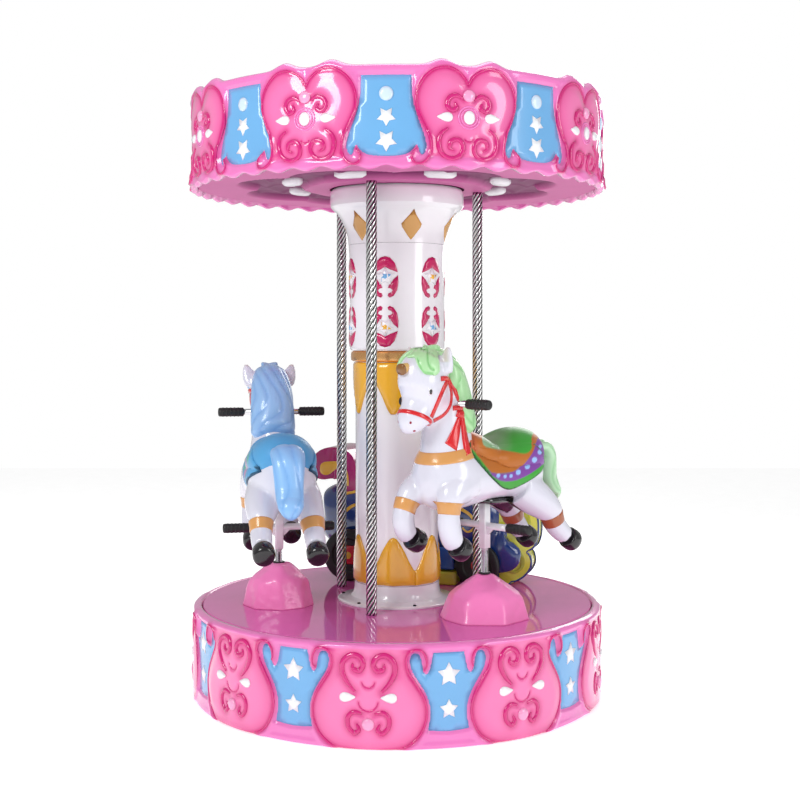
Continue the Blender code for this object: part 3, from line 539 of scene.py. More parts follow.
BASE_RIDGE = (
    (0.000, -0.012), (0.045, -0.004), (0.105, 0.006), (0.150, 0.034), (0.176, 0.078),
    (0.182, 0.122), (0.170, 0.165), (0.146, 0.205), (0.124, 0.240), (0.117, 0.270),
    (0.122, 0.294), (0.140, 0.308), (0.164, 0.306), (0.178, 0.286), (0.181, 0.262),
    (0.174, 0.246),
)
BASE_BLUE_FIELD = (
    (0.000, 0.296), (0.045, 0.296), (0.051, 0.291), (0.056, 0.268), (0.062, 0.244),
    (0.072, 0.230), (0.082, 0.242), (0.086, 0.268), (0.094, 0.290), (0.108, 0.297),
    (0.121, 0.288), (0.125, 0.268), (0.117, 0.238), (0.094, 0.202), (0.073, 0.166),
    (0.061, 0.128), (0.061, 0.092), (0.067, 0.064), (0.060, 0.056), (0.000, 0.052),
)
FIELD_DEPTH = 0.007
RIDGE_RADIUS = 0.0042
RELIEF_SEAT = 0.007
GRID = 0.0047


def spiral(centre, start, turns, outer, inner, steps=26, squash=1.0):
    """A scroll that winds in from its outer radius, counting its turns in degrees."""
    made = []
    for step in range(steps + 1):
        t = step / steps
        angle = math.radians(start + turns * t)
        radius = outer + (inner - outer) * t
        made.append((centre[0] + radius * math.cos(angle) * squash, centre[1] + radius * math.sin(angle)))
    return made


def tapered(path, thick, start=0.5, end=0.35):
    """A bead's radius along its path: full in the middle, thinner at its ends."""
    count = len(path)
    made = []
    for index in range(count):
        t = index / (count - 1)
        made.append(thick * min(1.0, start + t * 3) * min(1.0, end + (1 - t) * 4))
    return made


def both_sides(strokes):
    return strokes + [([(-x, z) for x, z in path], radius) for path, radius in strokes]


def canopy_strokes():
    """The carved scrolls inside one canopy shield, right half first."""
    half = [
        (smooth_path([(0.018, 0.212), (0.040, 0.224), (0.062, 0.216), (0.070, 0.194),
                      (0.056, 0.178), (0.040, 0.186), (0.044, 0.202)], 5), 0.0080),
        (smooth_path([(0.068, 0.122), (0.088, 0.106), (0.096, 0.076), (0.084, 0.044),
                      (0.054, 0.030), (0.026, 0.042), (0.018, 0.068), (0.032, 0.088),
                      (0.056, 0.084), (0.062, 0.064), (0.048, 0.056)], 5), 0.0078),
    ]
    made = both_sides(half)
    made.append((spiral((0.0, 0.096), 205, 130, 0.015, 0.015, 12), 0.0032))
    return made


def base_strokes():
    """The carved scrolls inside one base shield, right half first."""
    half = [
        (smooth_path([(0.042, 0.180), (0.066, 0.206), (0.082, 0.240), (0.078, 0.272),
                      (0.054, 0.290), (0.026, 0.284), (0.016, 0.262), (0.028, 0.244),
                      (0.048, 0.250), (0.048, 0.266)], 5), 0.0088),
        (smooth_path([(0.020, 0.112), (0.046, 0.116), (0.064, 0.098), (0.062, 0.070),
                      (0.044, 0.052), (0.030, 0.062), (0.036, 0.080)], 5), 0.0078),
    ]
    made = both_sides(half)
    made.append((spiral((0.0, 0.212), 190, 160, 0.021, 0.021, 12), 0.0028))
    made.append((spiral((0.0, 0.150), 185, 170, 0.031, 0.031, 14), 0.0030))
    return made


class Band:
    """One ring of panels: where its shields stand, and how its surface swells."""

    def __init__(self, name, body, radius, angle, bottom, top, ridge, field, strokes, edge, node):
        self.name, self.body, self.radius, self.angle = name, body, radius, angle
        self.bottom, self.top = bottom, top
        self.period = radius * PANEL_STEP
        self.ridge = smooth_path(ridge, 6)
        self.field = smooth_path(field, 3)
        self.strokes = strokes
        self.edge = edge
        self.node = node
        self.outline = self.ridge[:-HOOK_POINTS * 6]
        self.closed = self.outline + [(-x, z) for x, z in reversed(self.outline[1:])]

    def wrapped(self, x):
        """Arc length from the nearest shield's middle."""
        return (np.asarray(x) + self.period / 2) % self.period - self.period / 2

    def relief(self, x, z):
        """How far the surface stands off the ring's radius."""
        x, z = np.broadcast_arrays(np.asarray(x, float), np.asarray(z, float))
        x = self.wrapped(x)
        z = z - self.bottom
        side = np.abs(x)
        height = self.top - self.bottom
        within = inside(self.closed, x, z)
        rim = distance(self.closed, x, z, True)
        signed = np.where(within, rim, -rim)
        pillow = 0.003 * ease(signed / 0.010 + 0.5) + 0.006 * ease(signed / 0.045)
        frame_roll = 0.0055 * np.exp(-((signed + 0.011) / 0.009) ** 2)
        hook = distance(self.ridge[-HOOK_POINTS * 6 - 12:], side, z)
        hook_roll = 0.0075 * np.exp(-(hook / 0.012) ** 2)
        blue = [(self.period / 2 - a, b) for a, b in self.field]
        blue += [(self.period / 2 + a, b) for a, b in reversed(self.field)]
        low = inside(blue, side, z)
        away = distance(blue, side, z, True)
        sink = np.where(low, 1.0, ease(1 - away / 0.008))
        lip = 0.004 * np.exp(-((z - height + 0.012) / 0.012) ** 2)
        lip = lip + 0.004 * np.exp(-((z - 0.010) / 0.011) ** 2)
        crease = 0.0025 * np.exp(-(signed / 0.004) ** 2)
        for path, radius in self.strokes:
            near = distance(path, x, z)
            crease = np.maximum(crease, 0.0035 * np.exp(-(near / (radius * 1.9)) ** 2))
        raised = pillow + np.maximum(frame_roll, hook_roll) + lip - crease
        return raised * (1 - sink) - FIELD_DEPTH * sink - RELIEF_SEAT

    def tint(self, x, z):
        """The airbrushed colour: hot pink along every ridge and carved line."""
        x = self.wrapped(np.asarray(x, float))
        z = np.asarray(z, float) - self.bottom
        side = np.abs(x)
        hot = np.exp(-(distance(self.ridge, side, z) / 0.009) ** 2)
        for path, radius in self.strokes:
            hot = np.maximum(hot, 0.9 * np.exp(-(distance(path, x, z) / (radius * 1.9)) ** 2))
        within = inside(self.closed, x, z)
        glow = np.exp(-(distance(self.ridge, side, z) / 0.030) ** 2) * within * 0.45
        amount = np.clip(hot * 0.85 + glow, 0, 1)[..., None]
        base = np.where(within[..., None], COLOUR["pink"], COLOUR["rim_pink"])
        return base * (1 - amount) + np.array(COLOUR["hot_pink"]) * amount

    def surface(self, x, z):
        return float(self.radius + self.relief(x, z))


def canopy_edges(band, x):
    """The lobed top edge and the scalloped bottom edge, at an arc length."""
    side = np.abs(band.wrapped(x))
    lobe = 0.020 * np.exp(-((side - 0.082) / 0.042) ** 2)
    top = band.top + lobe
    scallop = 0.006 * (1 - np.cos(2 * math.pi * np.asarray(x) / (band.period / 5)))
    return band.bottom - 0.004 + scallop, top


def base_edges(band, x):
    flat = np.zeros_like(np.asarray(x, float))
    return flat + band.bottom, flat + band.top


def relief_ring(band, inner, shoulder):
    """The ring's moulded skin: an outer relief with rolled edges, and a plain back."""
    columns = int(band.period / GRID)
    rows = int((band.top - band.bottom) / GRID)
    x = np.arange(columns) * (band.period / columns)
    low, high = band.edge(band, x)
    share = np.linspace(0, 1, rows + 1)
    share = share - 0.014 * np.sin(2 * math.pi * share)
    z = low[None, :] + (high - low)[None, :] * share[:, None]
    xs = np.broadcast_to(x, z.shape)
    radius = band.radius + band.relief(xs, z)
    for size, gap in ((shoulder, high[None, :] - z), (0.006, z - low[None, :])):
        turn = np.clip(1 - gap / size, 0, 1)
        radius = radius - size * (1 - np.sqrt(1 - turn ** 2))
    paint = np.tile(band.tint(xs, z), (1, PANELS, 1))
    radius, z = np.tile(radius, (1, PANELS)), np.tile(z, (1, PANELS))
    low, high = np.tile(low, PANELS), np.tile(high, PANELS)
    columns *= PANELS
    angle = math.radians(band.angle) + np.arange(columns) * 2 * math.pi / columns
    cosine, sine = np.cos(angle), np.sin(angle)
    rings = [np.stack([inner * cosine, inner * sine, low + 0.002], 1)]
    rings += [np.stack([radius[k] * cosine, radius[k] * sine, z[k]], 1) for k in range(rows + 1)]
    rings.append(np.stack([inner * cosine, inner * sine, high], 1))
    plain = np.broadcast_to(np.array(COLOUR["rim_pink"]), (columns, 3))
    shades = [plain] + [paint[k] for k in range(rows + 1)] + [plain]
    return mesh_from(
        band.name + "_skin", np.vstack(rings), ring_faces(len(rings), columns, True), np.vstack(shades)
    )


def ring_faces(rings, columns, closed=False):
    """Quads between rings of points, which close on themselves when asked."""
    row = np.arange(rings if closed else rings - 1)[:, None] * columns
    above = (row + columns) % (rings * columns)
    k = np.arange(columns)[None, :]
    j = (k + 1) % columns
    quads = np.stack([row + k, row + j, above + j, above + k], -1)
    return quads.reshape(-1, 4).tolist()


def star_outline(x, z, radius, up=True, inner=0.52, points=5):
    made = []
    for k in range(points * 2):
        angle = math.radians(90 if up else -90) + math.pi * k / points
        reach = radius if k % 2 == 0 else radius * inner
        made.append((x + reach * math.cos(angle), z + reach * math.sin(angle)))
    return made


def oval_outline(x, z, wide, tall, count=28):
    return [
        (x + wide * math.cos(2 * math.pi * k / count), z + tall * math.sin(2 * math.pi * k / count))
        for k in range(count)
    ]


def drop_outline(x, z, long, tall, way):
    """A tear drop whose point looks along way: 1 to the right, -1 to the left."""
    half = [(-0.5, 0.0), (-0.44, 0.30), (-0.25, 0.48), (0.0, 0.44), (0.25, 0.26), (0.5, 0.02)]
    loop = half + [(a, -b) for a, b in reversed(half[1:-1])]
    smooth = smooth_loop([(a, b) for a, b in loop], 3)
    return [(x + way * a * long, z + b * tall) for a, b in smooth]


def dress_band(band, spots, emblem_up):
    """Everything that stands on one ring: blue fields, stars, beads, scrolls and jewels."""
    inner, shoulder = BAND_BACK[band.name]
    skin = made_object(
        band.name + "_skin", relief_ring(band, inner, shoulder), PAINT["painted_pink"], band.body
    )
    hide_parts(*band.node)
    raised = on_ring(band.angle, band.radius, band.surface)
    flat = on_ring(
        band.angle + 180.0 / PANELS, band.radius, lambda x, z: band.radius - FIELD_DEPTH - RELIEF_SEAT
    )

    def lifted(x, z, lift):
        return raised(x, z + band.bottom, lift)

    def sunk(x, z, lift):
        return flat(x, z + band.bottom, lift)

    fields = [inlay_mesh("field", mirrored(band.field), sunk, 0.0012, 0.002, 0.02)]
    emblems, roundels, beads, drops, halos = [], [], [], [], []
    for kind, x, z, size in spots:
        if kind == "star":
            shape = star_outline(x, z, size, emblem_up)
            emblems.append(inlay_mesh("star", shape, sunk, 0.0062, 0.004, 0.012))
        else:
            shape = oval_outline(x, z, size, size)
            roundels.append(inlay_mesh("disc", shape, sunk, 0.008, size * 0.9, 0.008))
    right = [(x, z) for x, z in band.ridge if z > RIDGE_RADIUS]
    left = [(-x, z) for x, z in reversed(right)]
    beads.append(bead_mesh("ridge", left, tapered(left, RIDGE_RADIUS, 0.35, 0.9), lifted))
    beads.append(bead_mesh("ridge", right, tapered(right, RIDGE_RADIUS, 0.9, 0.35), lifted))
    for path, radius in band.strokes:
        beads.append(bead_mesh("scroll", path, tapered(path, radius), lifted, 8, 0.8))
    emblem = EMBLEMS[band.name]
    for way in (-1, 1):
        point = way * emblem["point"]
        shape = drop_outline(way * emblem["drop_x"], emblem["drop_z"], 0.050, 0.030, point)
        drops.append(inlay_mesh("drop", shape, lifted, 0.0065, 0.009, 0.006))
    shape = oval_outline(0, emblem["bead_z"], 0.019, 0.019)
    jewels = [inlay_mesh("bead", shape, lifted, 0.010, 0.017, 0.006)]
    if "jewel_z" in emblem:
        z = emblem["jewel_z"]
        shape = oval_outline(0, z, 0.0175, 0.021)
        drops.append(inlay_mesh("jewel", shape, lifted, 0.008, 0.016, 0.006))
        for wide in (0.026, 0.034):
            loop = oval_outline(0, z, wide, wide, 36)
            halos.append(bead_mesh("halo", loop + loop[:1], [0.0030] * 37, lifted, 6))
    groups = (
        ("fields", fields, "blue"), ("stars", emblems, "star"), ("beads", beads, "hot_pink"),
        ("drops", drops, "white"), ("jewels", jewels, "pearl_pink"), ("discs", roundels, "pale_blue"),
        ("halos", halos, "pink"),
    )
    for word, meshes, paint in groups:
        if meshes:
            name = f"{band.name}_{word}"
            made_object(name, merged(name, meshes, PANELS), PAINT[paint], band.body)


BAND_BACK = {"canopy": (0.716, 0.012), "base": (0.700, 0.014)}
EMBLEMS = {
    "canopy": {"drop_x": 0.078, "drop_z": 0.156, "point": 1, "bead_z": 0.223, "jewel_z": 0.156},
    "base": {"drop_x": 0.064, "drop_z": 0.162, "point": -1, "bead_z": 0.080},
}


# Column

def column_radius(z):
    """The column's outer radius at a height."""
    levels = (0.393, 1.182, 1.183, 1.222, 1.224, 1.240, 1.400, 1.560, 1.600, 1.630, 1.662, 1.695,
              1.722, 1.731, 1.744)
    radii = (0.150, 0.150, 0.165, 0.165, 0.168, 0.172, 0.170, 0.172, 0.175, 0.178, 0.187, 0.203,
             0.222, 0.234, 0.242)
    return float(np.interp(z, levels, radii))


def on_column(angle, reference=COLUMN_RADIUS):
    return on_ring(angle, reference, lambda x, z: column_radius(z))


def dress_column():
    white, yellow, gold = PAINT["white"], PAINT["yellow"], PAINT["gold"]
    pieces = {
        "column_foot": (white, [
            (0.002, 0.3255), (0.2126, 0.3255), (0.2128, 0.331), (0.206, 0.3345), (0.182, 0.336),
            (0.166, 0.342), (0.157, 0.354), (0.1535, 0.372), (0.1525, 0.3925), (0.002, 0.3925),
        ]),
        "column_shaft": (white, [
            (0.002, 0.3935), (0.1498, 0.3935), (0.1498, 0.60), (0.1496, 0.90), (0.1498, 1.1812),
            (0.002, 1.1812),
        ]),
        "column_gold_ring": (gold, [
            (0.002, 1.1825), (0.158, 1.1825), (0.1655, 1.187), (0.1668, 1.200), (0.1655, 1.215),
            (0.158, 1.2203), (0.002, 1.2203),
        ]),
        "column_drum": (white, [
            (0.002, 1.2215), (0.164, 1.2215), (0.1705, 1.228), (0.1717, 1.240), (0.170, 1.400),
            (0.1715, 1.550), (0.1745, 1.5993), (0.002, 1.5993),
        ]),
        "column_capital": (white, [
            (0.002, 1.6003), (0.1750, 1.6003), (0.1780, 1.630), (0.1870, 1.662), (0.2030, 1.695),
            (0.2195, 1.719), (0.2265, 1.7235), (0.2330, 1.7290), (0.2395, 1.7370), (0.2415, 1.7500),
            (0.2415, 1.7830), (0.2385, 1.7925), (0.2340, 1.7990), (0.002, 1.7990),
        ]),
    }
    for name, (material, profile) in pieces.items():
        mesh = lathe_mesh(name, profile, 128, 1, smooth=False)
        obj = made_object(name + "_turned", mesh, material, "turntable")
        sharpen(obj, 30)
        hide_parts(name)

    swag_half = (
        (0.000, 0.998), (0.010, 1.000), (0.022, 1.020), (0.036, 1.052), (0.050, 1.082), (0.062, 1.104),
        (0.072, 1.128), (0.077, 1.160), (0.078, 1.180),
    )
    petal_half = (
        (0.000, 0.566), (0.012, 0.560), (0.024, 0.543), (0.040, 0.515), (0.056, 0.480), (0.072, 0.452),
        (0.078, 0.4465), (0.0785, 0.420), (0.0785, 0.396),
    )
    place = on_column(COLUMN_ORNAMENT_ANGLE)
    for word, half, node, bevel in (
        ("column_swag_panels", swag_half, "column_swags", 0.012),
        ("column_petal_panels", petal_half, "column_petals", 0.010),
    ):
        outline = mirrored(smooth_path(half, 3) + [(0.0, half[-1][1])])
        pads = [inlay_mesh(word, outline, place, 0.0085, bevel, 0.014)]
        panels = made_object(word, merged(word, pads, COLUMN_ORNAMENTS), yellow, "turntable")
        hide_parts(node)

    place = on_column(DIAMOND_ANGLE, 0.187)
    pads = [inlay_mesh("diamond", mirrored(DIAMOND_HALF), place, 0.0022, 0.003, 0.012)]
    diamonds = merged("diamonds", pads, COLUMN_ORNAMENTS)
    made_object("column_diamonds", diamonds, PAINT["diamond"], "turntable")
    pads = {"medallions": [], "star_edges": [], "blue_stars": [], "yellow_stars": []}
    for k in (0, 1):
        centre = on_column(MEDALLION_ANGLE + 60 * k, DRUM_RADIUS)
        for way, level in ((1, 1.4790), (-1, 1.3065)):

            def upright(x, z, lift, centre=centre, way=way, level=level):
                return centre(x, level + way * z, lift)

            pads["medallions"].extend(medallion(upright))
            edge = star_outline(0, 0.002, 0.035, True, 0.50)
            pads["star_edges"].append(inlay_mesh("star_edge", edge, upright, 0.0052, 0.002, 0.012))
            tone = "blue_stars" if (k == 0) == (way > 0) else "yellow_stars"
            core = star_outline(0, 0.002, 0.0235, True, 0.52)
            pads[tone].append(inlay_mesh("star", core, upright, 0.0075, 0.003, 0.010))
    finishes = {
        "medallions": "magenta", "star_edges": "white", "blue_stars": "blue", "yellow_stars": "yellow",
    }
    for word, meshes in pads.items():
        made_object("column_" + word, merged(word, meshes, 3), PAINT[finishes[word]], "turntable")


COLUMN_ORNAMENT_ANGLE = -95.0
DIAMOND_ANGLE = -74.0
MEDALLION_ANGLE = -104.0
DIAMOND_HALF = [
    (0.0, 1.713), (0.010, 1.696), (0.037, 1.664), (0.034, 1.652), (0.012, 1.622), (0.0, 1.609),
]


def medallion(place):
    """One egg-shaped ornament: a pointed cap over a star, and two scrolled feet."""
    cap = [(0.000, 0.073), (0.018, 0.068), (0.034, 0.050), (0.043, 0.026), (0.045, 0.016), (0.030, 0.022),
           (0.018, 0.026), (0.000, 0.036), (-0.018, 0.026), (-0.030, 0.022), (-0.045, 0.016), (-0.043, 0.026),
           (-0.034, 0.050), (-0.018, 0.068)]
    made = [inlay_mesh("cap", cap, place, 0.0034, 0.003, 0.012)]
    for way in (1, -1):
        foot = [(0.046, 0.006), (0.047, -0.020), (0.043, -0.046), (0.030, -0.066), (0.016, -0.072),
                (0.009, -0.066), (0.012, -0.057), (0.022, -0.054), (0.027, -0.046), (0.020, -0.040),
                (0.010, -0.038), (0.014, -0.028), (0.022, -0.020), (0.030, -0.008)]
        shape = [(way * x, z) for x, z in foot]
        made.append(inlay_mesh("foot", shape, place, 0.0034, 0.003, 0.012))
    return made


# Canopy underside, roof and floor

LAMPS = 8
LAMP_ANGLE = 201.6
LAMP_RADIUS = 0.395
CEILING_EDGE = 0.7144
CEILING_HOLE = 0.2435
RECESS_DEPTH = 0.022


def ceiling_recess(radius, angle):
    """How deep the moulded flower is cut up into the ceiling, from 0 to 1."""
    turn = np.cos(LAMPS / 2 * (angle - math.radians(LAMP_ANGLE)))
    outer = 0.500 + 0.088 * np.abs(turn) ** 0.7
    inner = 0.333 - 0.012 * np.abs(turn)
    near = np.minimum(outer - radius, radius - inner)
    return ease(near / 0.022)


def ceiling():
    """The mauve ceiling, moulded with an eight-petalled flower round its lamps, with painted shade in the flower's
    recesses.
    """
    sides, rows = 224, 64
    radii = np.linspace(CEILING_HOLE, CEILING_EDGE, rows + 1)
    angles = np.arange(sides) * 2 * math.pi / sides
    radius, angle = np.meshgrid(radii, angles, indexing="ij")
    cut = ceiling_recess(radius, angle)
    fold = np.abs(np.sin(LAMPS * (angle - math.radians(LAMP_ANGLE))))
    rib = np.exp(-((radius - 0.470) / 0.020) ** 2) * 0.45 + 0.25 * np.exp(-(fold / 0.16) ** 2)
    low = CEILING_BOTTOM + RECESS_DEPTH * cut * (1 - rib * cut)
    edge = ease(1 - (CEILING_EDGE - radius) / 0.012)
    low = low + 0.003 * edge
    points = np.stack([radius * np.cos(angle), radius * np.sin(angle), low], -1).reshape(-1, 3)
    # Painted shade: the moulded recesses darken towards the shade colour as they deepen
    deep = 0.85 * cut[..., None]
    shade = np.array(COLOUR["ceiling"]) * (1 - deep) + np.array(COLOUR["ceiling_painted_shade"]) * deep
    top = points.copy()
    top[:, 2] = CEILING_BOTTOM + 0.034
    faces = []
    total = (rows + 1) * sides
    for row in range(rows):
        for k in range(sides):
            j = (k + 1) % sides
            a, b = row * sides + k, row * sides + j
            faces.append((a, b, b + sides, a + sides))
    upper = np.vstack([top[:sides], top[rows * sides:]])
    for k in range(sides):
        j = (k + 1) % sides
        faces.append((total + k, total + j, j, k))
        faces.append((rows * sides + k, rows * sides + j, total + sides + j, total + sides + k))
        faces.append((total + k, total + sides + k, total + sides + j, total + j))
    plain = np.broadcast_to(np.array(COLOUR["ceiling_painted_shade"]), (len(upper), 3))
    shades = np.vstack([shade.reshape(-1, 3), plain])
    mesh = mesh_from("ceiling", np.vstack([points, upper]), faces, shades)
    plate = made_object("ceiling_moulding", mesh, PAINT["ceiling"], "turntable")
    sharpen(plate, 40)
    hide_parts("canopy_ceiling")

    lenses = []
    for k in range(LAMPS):
        middle = math.radians(LAMP_ANGLE + 45 * k)

        def under(x, z, lift, middle=middle):
            angle = middle + x / LAMP_RADIUS
            radius = LAMP_RADIUS + z
            return (radius * math.cos(angle), radius * math.sin(angle), CEILING_BOTTOM + 0.017 - lift)

        shape = oval_outline(0, 0, 0.058, 0.034)
        lenses.append(inlay_mesh("lens", shape, under, 0.016, 0.014, 0.012, 0.010))
    made_object("ceiling_lamps", merged("ceiling_lamps", lenses), PAINT["lamp"], "turntable")


def roof():
    """The low pink dome, with a shallow rib over every canopy joint."""
    sides = 216
    line = smooth_path([
        (0.004, 2.1776), (0.10, 2.166), (0.25, 2.147), (0.40, 2.126), (0.56, 2.1065), (0.7146, 2.090),
    ], 5)
    points, faces = [], []
    for level, drop in ((0, 0.0), (1, 0.010)):
        for radius, height in line:
            for k in range(sides):
                angle = 2 * math.pi * k / sides
                phase = math.cos(PANELS * (angle - math.radians(CANOPY_PANEL_ANGLE + 20)))
                rib = 0.0035 * max(0.0, (phase - 0.965) / 0.035) ** 0.5 * min(1.0, radius / 0.08) * (1 - level)
                fade = min(1.0, (0.7146 - radius) / 0.02)
                level_up = height - drop + rib * fade
                points.append((radius * math.cos(angle), radius * math.sin(angle), level_up))
    rows = len(line)
    for row in range(rows - 1):
        for k in range(sides):
            j = (k + 1) % sides
            a, b = row * sides + k, row * sides + j
            faces.append((a, a + sides, b + sides, b))
            c, d = a + rows * sides, b + rows * sides
            faces.append((c, d, d + sides, c + sides))
    for k in range(sides):
        j = (k + 1) % sides
        a, b = (rows - 1) * sides + k, (rows - 1) * sides + j
        faces.append((a, a + rows * sides, b + rows * sides, b))
    faces.append(tuple(range(sides)))
    faces.append(tuple(rows * sides + k for k in reversed(range(sides))))
    dome = made_object("roof_dome", mesh_from("roof", points, faces), PAINT["pink"], "turntable")
    sharpen(dome, 40)
    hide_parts("canopy_roof")
    profile = [(0.052, 2.1735), (0.052, 2.1765), (0.046, 2.1779), (0.002, 2.1779)]
    cap = lathe_mesh("cap", profile, 48, 1, smooth=False)
    made_object("roof_cap", cap, PAINT["hot_pink"], "turntable")


POLE_STARTS = 8
POLE_PITCH = 0.170
POLE_LOW = BASE_HEIGHT + 0.0003
POLE_HIGH = CEILING_BOTTOM - 0.0003


def poles():
    """Twisted chrome tubes: eight rolled ridges that wind up each pole, painted with a reflection that is dark in the
    grooves and bright on the ridges.
    """
    sides, rings = 48, 150
    for index, stand in enumerate(POLE_ANGLES):
        cx = POLE_CIRCLE * math.cos(math.radians(stand))
        cy = POLE_CIRCLE * math.sin(math.radians(stand))
        points, faces, shades = [], [], []
        for ring in range(rings + 1):
            height = POLE_LOW + (POLE_HIGH - POLE_LOW) * ring / rings
            twist = 2 * math.pi * (height - POLE_LOW) / POLE_PITCH
            for k in range(sides):
                angle = 2 * math.pi * k / sides
                swell = abs(math.cos(POLE_STARTS / 2 * angle))
                radius = 0.0158 + 0.0032 * swell ** 0.7
                # Painted reflection: the chrome is near black in the grooves and bright on the ridges
                shades.append([0.006 + 0.95 * swell ** 2.6] * 3)
                points.append((
                    cx + radius * math.cos(angle + twist), cy + radius * math.sin(angle + twist), height
                ))
        for ring in range(rings):
            for k in range(sides):
                a, b = ring * sides + k, ring * sides + (k + 1) % sides
                faces.append((a, b, b + sides, a + sides))
        faces.append(tuple(reversed(range(sides))))
        faces.append(tuple(rings * sides + k for k in range(sides)))
        mesh = mesh_from("pole", points, faces, shades)
        pole = made_object(f"twisted_pole_{index + 1}", mesh, PAINT["twisted_chrome_painted_reflection"], "turntable")
        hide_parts(f"pole_{index + 1}")


def frame_pieces():
    """The CAD nodes that keep their shape get their finishes."""
    finishes = {
        "turntable_floor": "mauve", "turntable_hub": "galvanised", "chassis_frame": "steel",
        "bearing_housing": "steel",
    }
    for name, paint in finishes.items():
        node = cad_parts[name]
        node.data.materials.clear()
        node.data.materials.append(PAINT[paint])
    screws = []
    for k in range(6):
        angle = math.radians(-72 + 60 * k)
        x, y = 0.199 * math.cos(angle), 0.199 * math.sin(angle)
        profile = [(0.0001, 0.3344), (0.0062, 0.3344), (0.0062, 0.3372), (0.0048, 0.3390), (0.0001, 0.3394)]
        screw = lathe_mesh("screw", profile, 16, 1, smooth=False)
        screw.transform(Matrix.Translation((x, y, 0.0)))
        screws.append(screw)
    made_object("flange_screws", merged("screws", screws), PAINT["screw"], "turntable")


# Ponies: forward is +X, the pony's left +Y, and Z counts up from its footrest

VOXEL = 0.0058
# Each station is forward, side, up, half width and half depth
TORSO = (
    (-0.256, 0.0, 0.164, 0.018, 0.024), (-0.249, 0.0, 0.165, 0.040, 0.050),
    (-0.230, 0.0, 0.166, 0.068, 0.080), (-0.198, 0.0, 0.168, 0.094, 0.098),
    (-0.155, 0.0, 0.170, 0.114, 0.104), (-0.110, 0.0, 0.173, 0.120, 0.096),
    (-0.060, 0.0, 0.175, 0.116, 0.088), (0.020, 0.0, 0.175, 0.110, 0.088),
    (0.110, 0.0, 0.176, 0.114, 0.102), (0.190, 0.0, 0.184, 0.117, 0.118),
    (0.245, 0.0, 0.191, 0.100, 0.108), (0.282, 0.0, 0.198, 0.066, 0.074),
    (0.298, 0.0, 0.200, 0.028, 0.034),
)
NECK = (
    (0.160, 0.0, 0.160, 0.080, 0.070), (0.175, 0.0, 0.215, 0.097, 0.104),
    (0.187, 0.0, 0.275, 0.084, 0.096), (0.192, 0.0, 0.330, 0.075, 0.088),
    (0.198, 0.0, 0.400, 0.071, 0.080), (0.208, 0.0, 0.460, 0.067, 0.074),
    (0.222, 0.0, 0.515, 0.056, 0.062),
)
HEAD = (
    (0.256, 0.0, 0.588, 0.020, 0.020), (0.258, 0.0, 0.580, 0.042, 0.042),
    (0.262, 0.0, 0.562, 0.060, 0.060), (0.267, 0.0, 0.548, 0.068, 0.070),
    (0.283, 0.0, 0.530, 0.073, 0.086), (0.294, 0.0, 0.512, 0.074, 0.094),
    (0.297, 0.0, 0.485, 0.074, 0.094), (0.299, 0.0, 0.462, 0.071, 0.087),
    (0.304, 0.0, 0.440, 0.065, 0.079), (0.313, 0.0, 0.418, 0.058, 0.069),
    (0.326, 0.0, 0.397, 0.053, 0.061), (0.340, 0.0, 0.374, 0.053, 0.057),
    (0.343, 0.0, 0.353, 0.045, 0.049), (0.338, 0.0, 0.340, 0.032, 0.034),
    (0.336, 0.0, 0.334, 0.014, 0.015),
)
JAW = (
    (0.215, 0.0, 0.470, 0.040, 0.040), (0.240, 0.0, 0.445, 0.062, 0.060),
    (0.268, 0.0, 0.415, 0.062, 0.058), (0.300, 0.0, 0.390, 0.050, 0.042),
    (0.320, 0.0, 0.372, 0.030, 0.026),
)
TAIL = (
    (-0.205, 0.0, 0.235, 0.030, 0.020), (-0.240, 0.0, 0.254, 0.050, 0.026),
    (-0.282, 0.0, 0.252, 0.058, 0.030), (-0.312, 0.0, 0.222, 0.056, 0.031),
    (-0.322, 0.0, 0.180, 0.052, 0.031), (-0.328, 0.0, 0.140, 0.048, 0.031),
    (-0.344, 0.0, 0.108, 0.046, 0.030), (-0.362, 0.0, 0.088, 0.042, 0.027),
    (-0.366, 0.0, 0.068, 0.030, 0.020), (-0.360, 0.0, 0.056, 0.012, 0.010),
)
MANE = (
    (0.292, 0.0, 0.566, 0.036, 0.020), (0.264, 0.0, 0.572, 0.052, 0.032),
    (0.232, 0.0, 0.554, 0.064, 0.047), (0.208, 0.0, 0.522, 0.073, 0.058),
    (0.191, 0.0, 0.480, 0.078, 0.064), (0.178, 0.0, 0.440, 0.080, 0.068),
    (0.166, 0.0, 0.395, 0.081, 0.068), (0.154, 0.0, 0.355, 0.082, 0.066),
    (0.146, 0.0, 0.332, 0.078, 0.052), (0.140, 0.0, 0.318, 0.056, 0.032),
)
SEAT = (
    (0.084, 0.0, 0.236, 0.050, 0.022), (0.056, 0.0, 0.232, 0.090, 0.038),
    (0.010, 0.0, 0.228, 0.112, 0.054), (-0.050, 0.0, 0.228, 0.115, 0.074),
    (-0.105, 0.0, 0.230, 0.115, 0.091), (-0.150, 0.0, 0.230, 0.112, 0.096),
    (-0.190, 0.0, 0.226, 0.100, 0.090), (-0.222, 0.0, 0.220, 0.078, 0.067),
    (-0.242, 0.0, 0.214, 0.040, 0.036),
)
POMMEL = (
    (0.000, 0.0, 0.232, 0.084, 0.036), (0.038, 0.0, 0.240, 0.096, 0.055),
    (0.078, 0.0, 0.254, 0.098, 0.062), (0.112, 0.0, 0.268, 0.092, 0.060),
    (0.140, 0.0, 0.276, 0.082, 0.056),
)
LEFT_FORELEG = (
    (0.170, 0.058, 0.165, 0.062, 0.068), (0.222, 0.066, 0.144, 0.055, 0.060),
    (0.250, 0.072, 0.118, 0.046, 0.049), (0.257, 0.074, 0.088, 0.0345, 0.0365),
    (0.258, 0.074, 0.056, 0.036, 0.037), (0.254, 0.074, 0.022, 0.037, 0.038),
    (0.244, 0.074, -0.010, 0.036, 0.037), (0.230, 0.074, -0.030, 0.032, 0.033),
)
LEFT_FORE_HOOF = (0.206, 0.074, -0.046)
